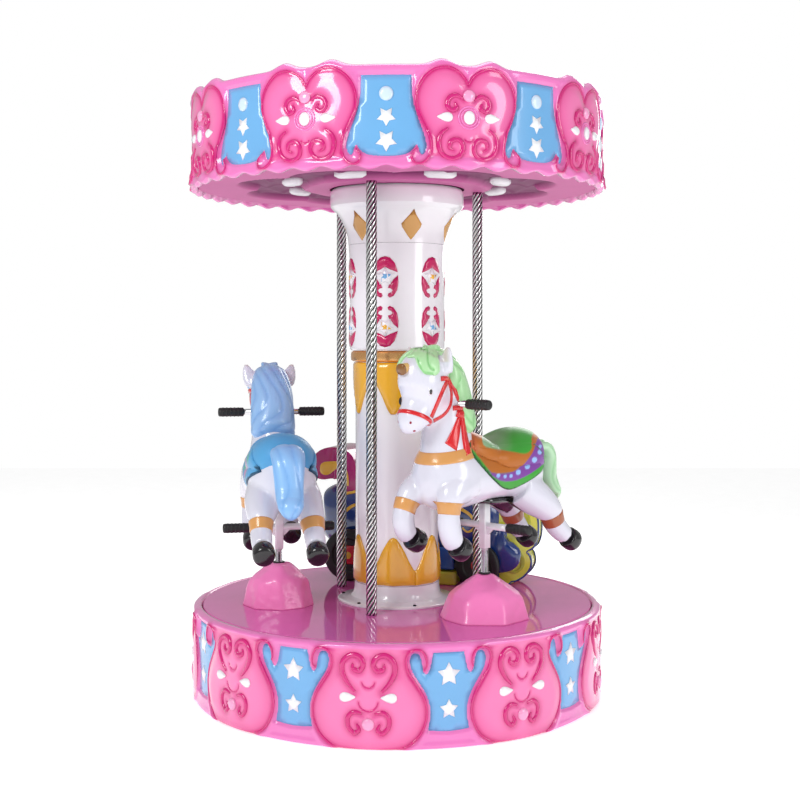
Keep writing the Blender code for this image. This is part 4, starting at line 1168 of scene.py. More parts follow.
RIGHT_FORELEG = (
    (0.178, -0.058, 0.165, 0.062, 0.068), (0.240, -0.066, 0.144, 0.054, 0.057),
    (0.284, -0.072, 0.120, 0.045, 0.046), (0.307, -0.074, 0.086, 0.0345, 0.0355),
    (0.316, -0.074, 0.046, 0.036, 0.037), (0.309, -0.074, 0.012, 0.035, 0.036),
    (0.291, -0.074, -0.012, 0.032, 0.033),
)
RIGHT_FORE_HOOF = (0.262, -0.074, -0.028)
LEFT_HINDLEG = (
    (-0.110, 0.055, 0.130, 0.068, 0.070), (-0.165, 0.070, 0.092, 0.066, 0.064),
    (-0.210, 0.080, 0.062, 0.056, 0.056), (-0.242, 0.086, 0.036, 0.046, 0.047),
    (-0.257, 0.088, 0.010, 0.0365, 0.0375), (-0.268, 0.089, -0.012, 0.037, 0.038),
    (-0.293, 0.090, -0.036, 0.036, 0.036), (-0.322, 0.090, -0.056, 0.033, 0.033),
)
LEFT_HIND_HOOF = (-0.352, 0.090, -0.073)
RIGHT_HINDLEG = (
    (-0.110, -0.055, 0.130, 0.068, 0.070), (-0.165, -0.070, 0.092, 0.064, 0.062),
    (-0.206, -0.080, 0.062, 0.052, 0.052), (-0.236, -0.086, 0.032, 0.044, 0.045),
    (-0.253, -0.088, 0.004, 0.0365, 0.0375), (-0.264, -0.089, -0.016, 0.036, 0.037),
    (-0.284, -0.090, -0.040, 0.036, 0.036), (-0.304, -0.090, -0.060, 0.033, 0.033),
)
RIGHT_HIND_HOOF = (-0.332, -0.090, -0.079)
EAR_ROOT, EAR_TIP = (0.262, 0.060, 0.520), (0.277, 0.089, 0.612)
HORN = (
    (0.330, 0.0, 0.550, 0.0080, 0.0070), (0.352, 0.0, 0.546, 0.0115, 0.0105),
    (0.376, 0.0, 0.540, 0.0155, 0.0145), (0.398, 0.0, 0.534, 0.0195, 0.0185),
)
HORN_CAP = (
    (0.3965, 0.0, 0.5342, 0.0200, 0.0190), (0.4010, 0.0, 0.5332, 0.0200, 0.0190),
    (0.4050, 0.0, 0.5324, 0.0175, 0.0165),
)
HANDLEBAR = (0.200, 0.0, 0.420)
SLEEVE_HALF = 0.015
BAR_HALF_LENGTH = 0.198


def loft_points(stations, sides, steps, power=2.0):
    """Rings of points through smooth cross-sections whose width lies along the side axis."""
    line = smooth_path(stations, steps) if steps > 1 else list(stations)
    centres = [Vector(station[:3]) for station in line]
    last = len(line) - 1
    rings = []
    for index, station in enumerate(line):
        along = (centres[min(index + 1, last)] - centres[max(index - 1, 0)]).normalized()
        side = Vector((0.0, 1.0, 0.0))
        side = (side - along * side.dot(along)).normalized()
        across = along.cross(side)
        ring = []
        for corner in range(sides):
            angle = 2 * math.pi * corner / sides
            cosine, sine = math.cos(angle), math.sin(angle)
            wide = math.copysign(abs(cosine) ** (2 / power), cosine) * station[3]
            deep = math.copysign(abs(sine) ** (2 / power), sine) * station[4]
            ring.append(centres[index] + side * wide + across * deep)
        rings.append(ring)
    return rings


def closed_rings(name, rings, paint=None):
    """A closed mesh over rings of points, with flat ends, facing outward."""
    count = len(rings[0])
    faces = ring_faces(len(rings), count)
    faces.append(tuple(reversed(range(count))))
    faces.append(tuple((len(rings) - 1) * count + k for k in range(count)))
    points = [tuple(p) for ring in rings for p in ring]
    return outward(mesh_from(name, points, faces, paint))


def outward(mesh):
    editable = bmesh.new()
    editable.from_mesh(mesh)
    bmesh.ops.recalc_face_normals(editable, faces=editable.faces)
    editable.to_mesh(mesh)
    editable.free()
    return mesh


def loft_mesh(name, stations, sides=24, steps=4, power=2.0):
    return closed_rings(name, loft_points(stations, sides, steps, power))


def ear_mesh(root, tip):
    """A leaf-shaped ear, hollowed in front."""
    rings = []
    for step in range(13):
        t = step / 12
        wide = 0.032 * math.sin(math.pi * min(1.0, 0.42 + 0.58 * t)) ** 0.75 + 0.001
        deep = 0.015 * (1 - t) ** 0.6 + 0.0016
        middle = root.lerp(tip, t)
        ring = []
        for corner in range(24):
            angle = 2 * math.pi * corner / 24
            hollow = 0.55 if math.sin(angle) > 0 else 0.0
            dent = hollow * deep * math.exp(-(math.cos(angle) / 0.45) ** 2)
            ring.append(middle + Vector((deep * math.sin(angle) - dent, wide * math.cos(angle), 0.0)))
        rings.append(ring)
    return closed_rings("ear", rings)


def remeshed(name, mesh, voxel, smoothing):
    """One closed skin round overlapping forms, with their joints smoothed."""
    obj = bpy.data.objects.new(name, mesh)
    bpy.context.scene.collection.objects.link(obj)
    fuse = obj.modifiers.new("fuse", "REMESH")
    fuse.mode = "VOXEL"
    fuse.voxel_size = voxel
    calm = obj.modifiers.new("calm", "SMOOTH")
    calm.factor = 0.5
    calm.iterations = smoothing
    graph = bpy.context.evaluated_depsgraph_get()
    made = bpy.data.meshes.new_from_object(obj.evaluated_get(graph))
    bpy.data.objects.remove(obj)
    bpy.data.meshes.remove(mesh)
    return made


def pony_skin():
    """The moulded white body that both ponies share, in the pony's own frame."""
    forms = [
        loft_mesh("torso", TORSO, 40), loft_mesh("neck", NECK, 32), loft_mesh("head", HEAD, 32),
        loft_mesh("jaw", JAW, 24), loft_mesh("foreleg", LEFT_FORELEG, 24),
        loft_mesh("foreleg", RIGHT_FORELEG, 24), loft_mesh("hindleg", LEFT_HINDLEG, 24),
        loft_mesh("hindleg", RIGHT_HINDLEG, 24),
    ]
    for way in (1, -1):
        flip = Vector((1, way, 1))
        forms.append(ear_mesh(Vector(EAR_ROOT) * flip, Vector(EAR_TIP) * flip))
    return remeshed("pony_skin", merged("pony_forms", forms), VOXEL, 6)


def tree_of(*meshes):
    """A search tree over one or more meshes together."""
    points, faces = [], []
    for mesh in meshes:
        own, links, _ = arrays_of(mesh)
        start = len(points)
        points += [Vector(p) for p in own]
        faces += [tuple(v + start for v in link) for link in links]
    return BVHTree.FromPolygons(points, faces)


def hit(tree, start, way):
    """Where a ray meets the skin, and the skin's direction there."""
    spot, normal, _, _ = tree.ray_cast(Vector(start), Vector(way).normalized())
    return spot, normal


def passing(tree, eye, target):
    """The point of a line of sight that comes nearest to the skin."""
    way = (target - eye).normalized()
    reach = (target - eye).length
    line = [eye + way * (reach + 0.005 * step) for step in range(-30, 31)]
    return min(line, key=lambda point: (tree.find_nearest(point)[0] - point).length)


def seen(tree, side, camera):
    """Places (forward, up) of the pony's middle plane on its skin, as the photograph's
    camera sees them: side 1 is the pony's left, side -1 mirrors it."""
    eye = Vector((camera[0], camera[1] * side, camera[2]))

    def place(x, z, lift):
        target = Vector((x, 0.0, z))
        spot, normal = hit(tree, eye, target - eye)
        if spot is None or (spot - target).length > 0.20:
            spot, normal, _, _ = tree.find_nearest(passing(tree, eye, target))
        return tuple(spot + normal * lift)

    return place


def sight_plane(points, camera):
    """Where points on a pony fall in its middle plane, as the camera sees them."""
    u, y, z = points.T
    share = camera[1] / (camera[1] - np.abs(y))
    return camera[0] + share * (u - camera[0]), camera[2] + share * (z - camera[2])


STRAP_PROFILE = (
    (-0.5, -0.35), (-0.46, 0.55), (-0.34, 1.0), (0.0, 1.12), (0.34, 1.0), (0.46, 0.55), (0.5, -0.35),
)


def ring_strap(name, tree, centre, axis, start, width, height, steps=64, limit=0.16):
    """A band round a limb, laid on the skin where rays from its middle leave the body.
    Rays that leave beyond the limit have missed the limb, and take their neighbours' reach."""
    axis = Vector(axis).normalized()
    centre, start = Vector(centre), Vector(start).normalized()
    ways = [Matrix.Rotation(2 * math.pi * step / steps, 3, axis) @ start for step in range(steps)]
    origins = [centre + axis * width * share for share, _ in STRAP_PROFILE] + [centre]
    reaches = np.full((steps, len(origins)), np.nan)
    for step, way in enumerate(ways):
        for column, origin in enumerate(origins):
            spot, _ = hit(tree, origin, way)
            if spot is not None and (spot - origin).length < limit:
                reaches[step, column] = (spot - origin).length
    rows = np.arange(steps)
    for column in reaches.T:
        known = np.isfinite(column)
        column[:] = np.interp(rows, rows[known], column[known], period=steps)
    rings = []
    for way, reach in zip(ways, reaches):
        ring = [
            origin + way * (far + height * rise)
            for origin, far, (_, rise) in zip(origins, reach, STRAP_PROFILE)
        ]
        ring.append(centre + way * (reach[-1] - 0.004))
        rings.append(ring)
    faces = ring_faces(steps, len(rings[0]), closed=True)
    return outward(mesh_from(name, [tuple(p) for ring in rings for p in ring], faces))


def ribbon_outline(path, widths):
    """The outline of a ribbon along a path, with its own width at each point."""
    left, right = [], []
    last = len(path) - 1
    for index, (x, z) in enumerate(path):
        ax, az = path[max(index - 1, 0)]
        bx, bz = path[min(index + 1, last)]
        length = math.hypot(bx - ax, bz - az) or 1.0
        nx, nz = -(bz - az) / length, (bx - ax) / length
        half = widths[index] / 2
        left.append((x + nx * half, z + nz * half))
        right.append((x - nx * half, z - nz * half))
    return left + right[::-1]


def ribbon(name, path, width, place, height=0.0032, end_width=None, steps=6):
    line = smooth_path(path, steps)
    count = len(line)
    end = width if end_width is None else end_width
    widths = [width + (end - width) * k / (count - 1) for k in range(count)]
    outline = ribbon_outline(line, widths)
    return inlay_mesh(name, outline, place, height, 0.003, 0.009, 0.003, wall=0.6)


def hair(name, stations, sides, grooves, depth, sway, lit_and_shaded_tones, steps=10, power=2.0):
    """A moulded mass of hair with carved locks that run along it, with a painted highlight on their crests and painted
    shade in their grooves.
    """
    rings = loft_points(stations, sides, steps, power)
    middle = [sum((p for p in ring), Vector()) / len(ring) for ring in rings]
    count = len(rings)
    shades, made = [], []
    for index, ring in enumerate(rings):
        t = index / (count - 1)
        fade = min(1.0, 8 * t, 8 * (1 - t))
        out = []
        for corner, point in enumerate(ring):
            angle = 2 * math.pi * corner / sides
            wave = grooves * angle / 2 + sway * math.sin(2 * math.pi * (1.3 * t + angle / 9))
            crest = abs(math.sin(wave)) ** 0.6
            ray = point - middle[index]
            out.append(point - ray.normalized() * depth * (1 - crest) * fade)
            # Painted highlight on the crests and painted shade in the grooves: the colour follows the carving's depth
            light, dark = lit_and_shaded_tones
            mix = 0.25 + 0.75 * crest
            shades.append([d + (l - d) * mix for l, d in zip(light, dark)])
        made.append(out)
    return closed_rings(name, made, shades)


def hoof_mesh(centre, leg_end):
    """A glossy hoof: a short cup with a rounded sole that faces away from the leg."""
    centre, leg_end = Vector(centre), Vector(leg_end)
    along = (centre - leg_end).normalized()
    stations = []
    for t, radius in (
        (-0.018, 0.0300), (-0.017, 0.0365), (-0.012, 0.0382), (0.004, 0.0392), (0.018, 0.0386),
        (0.026, 0.0355), (0.031, 0.0300), (0.034, 0.0200), (0.035, 0.0080),
    ):
        stations.append((*(centre + along * t), radius * 0.96, radius))
    return closed_rings("hoof", loft_points(stations, 28, 1))


LIMBS = (
    (LEFT_FORELEG, LEFT_FORE_HOOF, 3), (RIGHT_FORELEG, RIGHT_FORE_HOOF, 3),
    (LEFT_HINDLEG, LEFT_HIND_HOOF, 4), (RIGHT_HINDLEG, RIGHT_HIND_HOOF, 4),
)
# Each hair pair is the crest colour, a painted highlight, and the groove colour, painted shade
LOOK = {
    "right_pony": {
        "mane": (srgb("B4E6AC"), srgb("74C46E")), "tail": (srgb("C0EAC0"), srgb("86CB88")),
        "hind_band": "brown_band",
    },
    "left_pony": {
        "mane": (srgb("98C2F0"), srgb("74A4E0")), "tail": (srgb("8EC0F2"), srgb("70A9E8")),
        "hind_band": "gold_cloth",
    },
}


def pony_frame(name, upright=False):
    """Where a pony stands; its body leans by its pitch, and its rod and sleeve stay upright."""
    angle = math.radians(PONY_ANGLES[name])
    ahead = angle - math.pi / 2 + math.radians(PONY_TURN[name])
    spot = (RIDE_RADIUS * math.cos(angle), RIDE_RADIUS * math.sin(angle), PONY_DATUM[name])
    turned = Matrix.Translation(spot) @ Matrix.Rotation(ahead, 4, "Z")
    if upright:
        return turned
    return turned @ Matrix.Rotation(math.radians(PONY_PITCH[name]), 4, "Y")


def skin_paint(skin, body_colour):
    """White gelcoat, pink on the cheeks, with painted shade in the ears' hollows and near-black painted shade in the
    belly's opening.
    """
    count = len(skin.vertices)
    flat = np.empty(count * 3)
    skin.vertices.foreach_get("co", flat)
    u, y, z = flat.reshape(-1, 3).T
    shade = np.ones((count, 4), np.float32)
    shade[:, :3] = body_colour
    pink = np.array(srgb("F2A9BE"))
    dark = np.array(srgb("101014"))
    # Painted shade: a warm grey stands for the shade in the ears' hollows
    ear_hollow_shade = np.array(srgb("CFC3B6"))
    cheek = np.exp(-(((u - 0.262) / 0.030) ** 2 + ((z - 0.424) / 0.034) ** 2)) * (np.abs(y) > 0.03)
    ear = (z > 0.555) * np.exp(-((np.abs(y) - 0.078) / 0.014) ** 2) * (u > 0.270)
    for tone, share in ((pink, 0.4 * cheek[:, None]), (ear_hollow_shade, 0.8 * ear[:, None])):
        shade[:, :3] = shade[:, :3] * (1 - share) + tone * share
    # Painted shade: near black where the belly's opening lies in shade
    belly = (z < 0.098) & (np.abs(y) < 0.062) & (u > -0.190) & (u < 0.060)
    shade[belly, :3] = dark
    attribute = skin.color_attributes.new("paint", "FLOAT_COLOR", "POINT")
    attribute.data.foreach_set("color", shade.ravel())


def dress_pony(name, skin):
    """One pony: the shared body with its own hair, saddle, straps and bands."""
    look = LOOK[name]
    frame_of = pony_frame(name)
    tree = tree_of(skin)
    camera = pony_frame("right_pony").inverted() @ Vector((0.0, -CAMERA_DISTANCE, CAMERA_HEIGHT))
    pieces = {}
    pieces["skin"] = ([skin.copy()], "pony_white")
    hooves = [hoof_mesh(hoof, leg[-1][:3]) for leg, hoof, _ in LIMBS]
    pieces["hooves"] = (hooves, "hoof_black")
    bands, hind = [], []
    for leg, _, knee in LIMBS:
        before, at, after = (Vector(leg[knee + k][:3]) for k in (-1, 0, 1))
        band = ring_strap("band", tree, at, after - before, (0, 1, 0), 0.040, 0.0030, 36, 0.070)
        (hind if leg in (LEFT_HINDLEG, RIGHT_HINDLEG) else bands).append(band)
    bands.append(ring_strap(
        "breast_band", tree, (0.170, 0.0, 0.243), (0.20, 0.0, 1.0), (1, 0, 0), 0.041, 0.0035, 72,
    ))
    pieces["bands"] = (bands, "gold_cloth")
    pieces["hind_bands"] = (hind, look["hind_band"])
    pieces["mane"] = ([hair("mane", MANE, 96, 9, 0.0034, 2.6, look["mane"], 10)], "hair")
    reach = 0.022 if name == "left_pony" else 0.0
    tail = [(u, y, z - reach * max(0.0, (0.235 - z) / 0.18), b, a) for u, y, z, b, a in TAIL]
    pieces["tail"] = ([hair("tail", tail, 64, 6, 0.0034, 1.3, look["tail"], 12)], "hair")
    # A near-black plate under the belly, as painted shade for the belly's opening
    pieces["plate"] = ([loft_mesh("plate", BELLY_SHADE_PLATE, 28, 4, 3.0)], "eye_black")
    pieces["horn"] = ([loft_mesh("horn", HORN, 28, 3, 2.3)], "horn")
    pieces["horn_cap"] = ([loft_mesh("horn_cap", HORN_CAP, 28, 2, 2.3)], "bronze")
    pieces["forelock"] = (forelock(camera, look["mane"]), "hair")
    straps, eyes, whites, spots = [], [], [], []
    for side in (1, -1):
        place = seen(tree, side, camera)
        straps += halter(place, name == "left_pony" or side < 0)
        for store, word, shape, height, bevel, spacing in (
            (whites, "white", oval_outline(0.264, 0.459, 0.0105, 0.0120, 20), 0.0022, 0.006, 0.008),
            (eyes, "eye", oval_outline(0.264, 0.459, 0.0070, 0.0088, 20), 0.0040, 0.006, 0.006),
            (spots, "nostril", oval_outline(0.357, 0.363, 0.0052, 0.0042, 14), 0.0020, 0.003, 0.006),
            (spots, "mouth", oval_outline(0.340, 0.336, 0.0060, 0.0026, 14), 0.0018, 0.003, 0.006),
        ):
            store.append(inlay_mesh(word, shape, place, height, bevel, spacing))
    straps.append(ring_strap(
        "noseband", tree, (0.318, 0.0, 0.402), (-0.50, 0.0, 0.91), (1, 0, 0), 0.015, 0.0034, 56, 0.085,
    ))
    pieces["halter"] = (straps, "red_strap")
    pieces["eyes"] = (eyes, "eye_black")
    pieces["eye_rims"] = (whites, "white")
    pieces["spots"] = (spots, "nostril_red")
    pieces["saddle"] = (saddle(name, skin, camera), "saddle")
    for word, (meshes, paint) in pieces.items():
        mesh = merged(f"{name}_{word}", meshes)
        mesh.transform(frame_of)
        piece = made_object(f"{name}_{word}_look", mesh, PAINT[paint], name)
        if word == "skin":
            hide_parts(f"{name}_body")
    pony_fittings(name, "handlebar", frame_of)
    for word in ("footrest", "rod"):
        pony_fittings(name, word, pony_frame(name, upright=True))


def halter(place, short):
    """One side of the red halter, its bow, and the ribbons that hang from it."""
    made = [
        ribbon("cheek_strap", [
            (0.262, 0.376), (0.232, 0.422), (0.205, 0.465), (0.184, 0.494),
        ], 0.015, place),
        ribbon("throat_strap", [
            (0.178, 0.490), (0.165, 0.451), (0.171, 0.413), (0.200, 0.383), (0.252, 0.364),
        ], 0.011, place),
        ribbon("bow", [(0.216, 0.500), (0.196, 0.501), (0.180, 0.498)], 0.016, place, 0.006),
        ribbon("bow_tail", [
            (0.180, 0.496), (0.158, 0.476), (0.142, 0.452), (0.126, 0.430),
        ], 0.014, place, 0.004, 0.024),
        ribbon("knot_upper", [(0.158, 0.402), (0.130, 0.402), (0.104, 0.400)], 0.016, place, 0.009),
        ribbon("knot_lower", [(0.140, 0.386), (0.122, 0.380), (0.104, 0.378)], 0.026, place, 0.007),
    ]
    front = [(0.126, 0.372), (0.136, 0.345), (0.150, 0.310), (0.168, 0.274)]
    rear = [(0.112, 0.376), (0.106, 0.332), (0.096, 0.285), (0.081, 0.240)]
    if short:
        front, rear = front[:2], rear[:2]
    made.append(ribbon("ribbon_front", front, 0.012, place, 0.004, 0.020 if short else 0.064))
    made.append(ribbon("ribbon_rear", rear, 0.018, place, 0.005, 0.026 if short else 0.032))
    return made


# The forelock's outline and its two grooves, as (forward, up) in the photograph's view
FORELOCK = (
    (0.374, 0.572), (0.339, 0.593), (0.295, 0.602), (0.250, 0.609), (0.220, 0.602), (0.229, 0.575),
    (0.222, 0.548), (0.222, 0.523), (0.240, 0.512), (0.256, 0.513), (0.291, 0.517), (0.311, 0.532),
    (0.326, 0.550), (0.337, 0.569), (0.348, 0.571),
)
FORELOCK_GROOVES = (
    ((0.321, 0.565), (0.311, 0.541), (0.295, 0.524), (0.256, 0.518)),
    ((0.278, 0.590), (0.276, 0.560), (0.266, 0.538), (0.250, 0.530)),
)
SKULL_MIDDLE = Vector((0.250, 0.0, 0.530))


def forelock(camera, lit_and_shaded_tones):
    """One carved lock that sweeps over the forehead, and a shorter one on the far side."""
    head = loft_mesh("head", HEAD, 32)
    skull = tree_of(head)
    bpy.data.meshes.remove(head)
    grooves = [smooth_path(path, 5) for path in FORELOCK_GROOVES]
    light, dark = (np.array(tone) for tone in lit_and_shaded_tones)

    def crease(x, z, wide):
        near = np.minimum(distance(grooves[0], x, z), distance(grooves[1], x, z))
        return np.exp(-(near / wide) ** 2)

    # Painted shade: the two grooves are painted in the dark colour
    def paint(x, z):
        share = 0.85 * crease(x, z, 0.0045)[:, None]
        return light * (1 - share) + dark * share

    made = []
    for side, outline in ((1, FORELOCK), (-1, FORELOCK[1:-1])):
        eye = Vector((camera[0], camera[1] * side, camera[2]))

        def place(x, z, lift, eye=eye):
            target = Vector((x, 0.0, z))
            spot, _ = hit(skull, eye, target - eye)
            if spot is None or (spot - target).length > 0.16:
                spot = passing(skull, eye, target)
            out = ((spot - SKULL_MIDDLE).normalized() + (eye - spot).normalized() * 1.2).normalized()
            if lift > 0:
                lift -= 0.0045 * float(crease(x, z, 0.0035))
            return tuple(spot + out * lift)

        shape = smooth_loop(outline, 3)
        made.append(inlay_mesh("forelock", shape, place, 0.011, 0.010, 0.0036, 0.022, paint))
    return made


# The dark plate under the belly, where the body meets its sleeve, is painted shade: a near-black piece that stands for
# the shade in the belly's opening
BELLY_SHADE_PLATE = (
    (-0.150, 0.0, 0.090, 0.018, 0.007), (-0.140, 0.0, 0.087, 0.038, 0.012),
    (-0.060, 0.0, 0.085, 0.050, 0.015), (0.010, 0.0, 0.086, 0.048, 0.014),
    (0.040, 0.0, 0.088, 0.030, 0.008),
)

# The saddle's cloth on one side, as (forward, up) in the photograph's view of the pony
CLOTH = (
    (0.064, 0.314), (0.074, 0.296), (0.076, 0.272), (0.066, 0.244), (0.042, 0.221), (0.010, 0.194),
    (-0.036, 0.157), (-0.080, 0.126), (-0.103, 0.116), (-0.130, 0.112), (-0.168, 0.116),
    (-0.248, 0.136), (-0.300, 0.158), (-0.316, 0.180), (-0.316, 0.206), (-0.300, 0.236),
    (-0.268, 0.260), (-0.220, 0.272), (-0.160, 0.282), (-0.090, 0.276), (-0.020, 0.262),
    (0.020, 0.266), (0.046, 0.290),
)
CLOTH_TOP = CLOTH[:14:-1] + CLOTH[:1]
DOME_EDGE = (
    (-0.400, 0.420), (-0.262, 0.300), (-0.257, 0.262), (-0.240, 0.238), (-0.208, 0.228),
    (-0.150, 0.236), (-0.089, 0.247), (-0.002, 0.268), (0.012, 0.300), (0.030, 0.420),
)
PURPLE_TOP = (
    (-0.400, 0.360), (-0.300, 0.290), (-0.275, 0.262), (-0.258, 0.238), (-0.232, 0.214),
    (-0.195, 0.190), (-0.149, 0.171), (-0.089, 0.168), (-0.043, 0.173), (-0.012, 0.188),
    (0.100, 0.290),
)
PURPLE_LOW = (
    (-0.400, 0.300), (-0.330, 0.225), (-0.309, 0.187), (-0.250, 0.161), (-0.190, 0.146),
    (-0.137, 0.140), (-0.081, 0.145), (-0.043, 0.160), (-0.012, 0.187), (0.100, 0.310),
)
# The purple band's dots: forward, up and radius. The view squeezes them along the pony.
DOTS = (
    (-0.299, 0.249, 0.0062), (-0.289, 0.229, 0.0079), (-0.260, 0.205, 0.0094),
    (-0.222, 0.182, 0.0094), (-0.172, 0.166, 0.0087), (-0.133, 0.157, 0.0058),
    (-0.101, 0.158, 0.0058), (-0.065, 0.163, 0.0066),
)
DOT_SQUEEZE = 0.66
FLOWERS = (
    (-0.180, 0.170, 0.034, "58B98C"), (-0.205, 0.205, 0.022, "D98BB6"),
    (-0.150, 0.205, 0.018, "6CC46A"), (-0.235, 0.185, 0.016, "C77BB0"),
    (-0.120, 0.160, 0.020, "58B98C"), (-0.075, 0.180, 0.022, "D98BB6"),
    (-0.030, 0.205, 0.020, "6CC46A"), (0.010, 0.240, 0.018, "D98BB6"),
    (-0.260, 0.225, 0.020, "58B98C"),
)


def height_of(line, x):
    """A smooth line's height over each x."""
    path = smooth_path(line, 6)
    return np.interp(x, [p[0] for p in path], [p[1] for p in path])


def blended(under, tone, share):
    """One colour laid over others by a share."""
    share = np.clip(share, 0, 1)[:, None]
    return under * (1 - share) + np.array(srgb(tone)) * share


def saddle_colours(name, x, z, rim):
    """The saddle's colours at places in the photograph's view, with a dark rim if asked."""
    edge = distance(list(CLOTH), x, z, True)
    made = np.tile(srgb("5AA6DA" if name == "left_pony" else "43A83C"), (len(x), 1))
    if name == "left_pony":
        for cx, cz, reach, tone in FLOWERS:
            made = blended(made, tone, np.exp(-(((x - cx) ** 2 + (z - cz) ** 2) / reach ** 2)))
        if rim:
            made = blended(made, "1F4F6E", (edge < 0.0045) & (z < 0.20))
        return made
    top, low = height_of(PURPLE_TOP, x), height_of(PURPLE_LOW, x)
    made = blended(made, "BC6E2A", (z - top) / 0.003 + 0.5)
    made = blended(made, "CE6648", ((z > top) & (x > 0.0)) * (x - 0.020) / 0.050)
    dome = (z - height_of(DOME_EDGE, x)) / 0.004 + 0.5
    made = blended(made, "3FA53A", dome)
    made = blended(made, "93B48E", np.clip(dome, 0, 1) * np.clip((x + 0.150) / 0.15, 0, 1))
    band = np.clip((z - low) / 0.003 + 0.5, 0, 1) * np.clip((top - z) / 0.003 + 0.5, 0, 1)
    made = blended(made, "8448A4", band * np.clip((0.004 - x) / 0.02, 0, 1))
    for dot_x, dot_z, size in DOTS:
        away = np.hypot((x - dot_x) * DOT_SQUEEZE, z - dot_z)
        made = blended(made, "9CC4FA", (size - away) / 0.002 + 0.5)
    if rim:
        made = blended(made, "1F5A2C", (edge < 0.0036) & (z < height_of(CLOTH_TOP, x) - 0.030))
    return made


def saddle(name, skin, camera):
    """The moulded saddle: a seat that runs into its pommel, and a cloth on each side."""
    forms = merged("seat", [
        loft_mesh("seat", SEAT, 48, 6, 2.1), loft_mesh("pommel", POMMEL, 48, 4, 2.0),
    ])
    core = remeshed("seat", forms, 0.0050, 8)
    under = tree_of(skin, core)
    points, _, _ = arrays_of(core)
    shade = np.ones((len(points), 4), np.float32)
    shade[:, :3] = saddle_colours(name, *sight_plane(points, camera), rim=False)
    core.color_attributes.new("paint", "FLOAT_COLOR", "POINT").data.foreach_set("color", shade.ravel())
    outline = smooth_loop(CLOTH, 3)
    made = [core]
    for side in (1, -1):
        place = seen(under, side, camera)

        def tucked(x, z, lift, place=place):
            """The cloth sinks into the seat along its top, so that no edge shows there."""
            share = float(np.clip((height_of(CLOTH_TOP, x) - z) / 0.060, 0, 1))
            if lift > 0:
                return place(x, z, lift * share - 0.003 * (1 - share))
            return place(x, z, lift - 0.004 * (1 - share))

        made.append(inlay_mesh(
            "cloth", outline, tucked, 0.0055, 0.008, 0.0036, 0.004,
            lambda x, z: saddle_colours(name, x, z, rim=True), wall=0.6,
        ))
    return made


def pony_fittings(name, word, frame_of):
    """Bright rod, and the white footrest with its sleeve and the handlebar, both with black grips."""
    if word == "rod":
        low = 0.200 - PONY_DATUM[name]
        profile = [(0.0122, low), (0.0125, low + 0.002), (0.0125, -0.0765)]
        rod = lathe_mesh("rod", profile, 40, 1, smooth=False)
        rod.transform(frame_of)
        piece = made_object(f"{name}_bright_rod", rod, PAINT["chrome"], name)
        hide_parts(f"{name}_rod")
        return
    centre = Vector(HANDLEBAR) if word == "handlebar" else Vector((0.0, 0.0, 0.0))
    bar, grips = [], []
    line = [(-BAR_HALF_LENGTH + 0.012, 0.0115), (BAR_HALF_LENGTH - 0.012, 0.0115)]
    bar.append(rod_mesh("bar", centre, line))
    for way in (1, -1):
        profile = [(0.104, 0.0130), (0.105, 0.0160), (0.108, 0.0166), (0.150, 0.0163), (0.188, 0.0166),
                   (0.194, 0.0158), (0.1970, 0.0130), (0.1980, 0.0070)]
        grips.append(rod_mesh("grip", centre, [(way * y, r) for y, r in profile]))
        for notch in range(5):
            y = way * (0.124 + 0.014 * notch)
            profile = [(-0.003, 0.0160), (-0.0018, 0.0174), (0.0018, 0.0174), (0.003, 0.0160)]
            grips.append(rod_mesh("rib", centre, [(y + across, r) for across, r in profile]))
    if word == "footrest":
        sleeve = [(0, 0, level, SLEEVE_HALF, SLEEVE_HALF) for level in (-0.0757, 0.129)]
        gusset = [(0, 0, -0.030, 0.018, 0.006), (0, 0, -0.010, 0.040, 0.006), (0, 0, 0, 0.060, 0.006)]
        bar += [loft_mesh("sleeve", sleeve, 40, 1, 8.0), loft_mesh("gusset", gusset, 16, 1, 6.0)]
    finish = "white" if word == "footrest" else "chrome"
    for what, meshes, paint in (("bar", bar, finish), ("grips", grips, "grip")):
        mesh = merged(f"{name}_{word}_{what}", meshes)
        mesh.transform(frame_of)
        piece = made_object(f"{name}_{word}_{what}", mesh, PAINT[paint], name)
        if what == "grips":
            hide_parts(f"{name}_{word}")


def rod_mesh(name, centre, line):
    """A turned bar that lies across the pony, from points of (side, radius)."""
    rings = []
    for y, radius in line:
        rings.append([
            Vector((centre[0] + radius * math.cos(2 * math.pi * k / 32), centre[1] + y,
                    centre[2] + radius * math.sin(2 * math.pi * k / 32))) for k in range(32)
        ])
    return closed_rings(name, rings)


# Each facet is its turn, its lean above level, and its distance from the boulder's middle
FACETS = {
    "right_pony": (
        (268, 26, 0.1335), (216, 20, 0.138), (318, 18, 0.137), (5, 15, 0.138), (52, 18, 0.136),
        (100, 15, 0.138), (150, 17, 0.137), (188, 22, 0.136), (268, 58, 0.132), (225, 50, 0.134),
        (312, 50, 0.134), (355, 54, 0.133), (40, 50, 0.134), (90, 54, 0.133), (140, 50, 0.134),
        (180, 54, 0.133),
    ),
    "left_pony": (
        (258, 9, 0.110), (212, 12, 0.113), (300, 14, 0.112), (335, 10, 0.116), (20, 12, 0.113),
        (65, 9, 0.115), (110, 12, 0.113), (160, 10, 0.115), (240, 46, 0.133), (285, 40, 0.137),
        (325, 48, 0.134), (15, 44, 0.133), (70, 48, 0.134), (120, 44, 0.132), (175, 47, 0.134),
        (208, 52, 0.133),
    ),
}


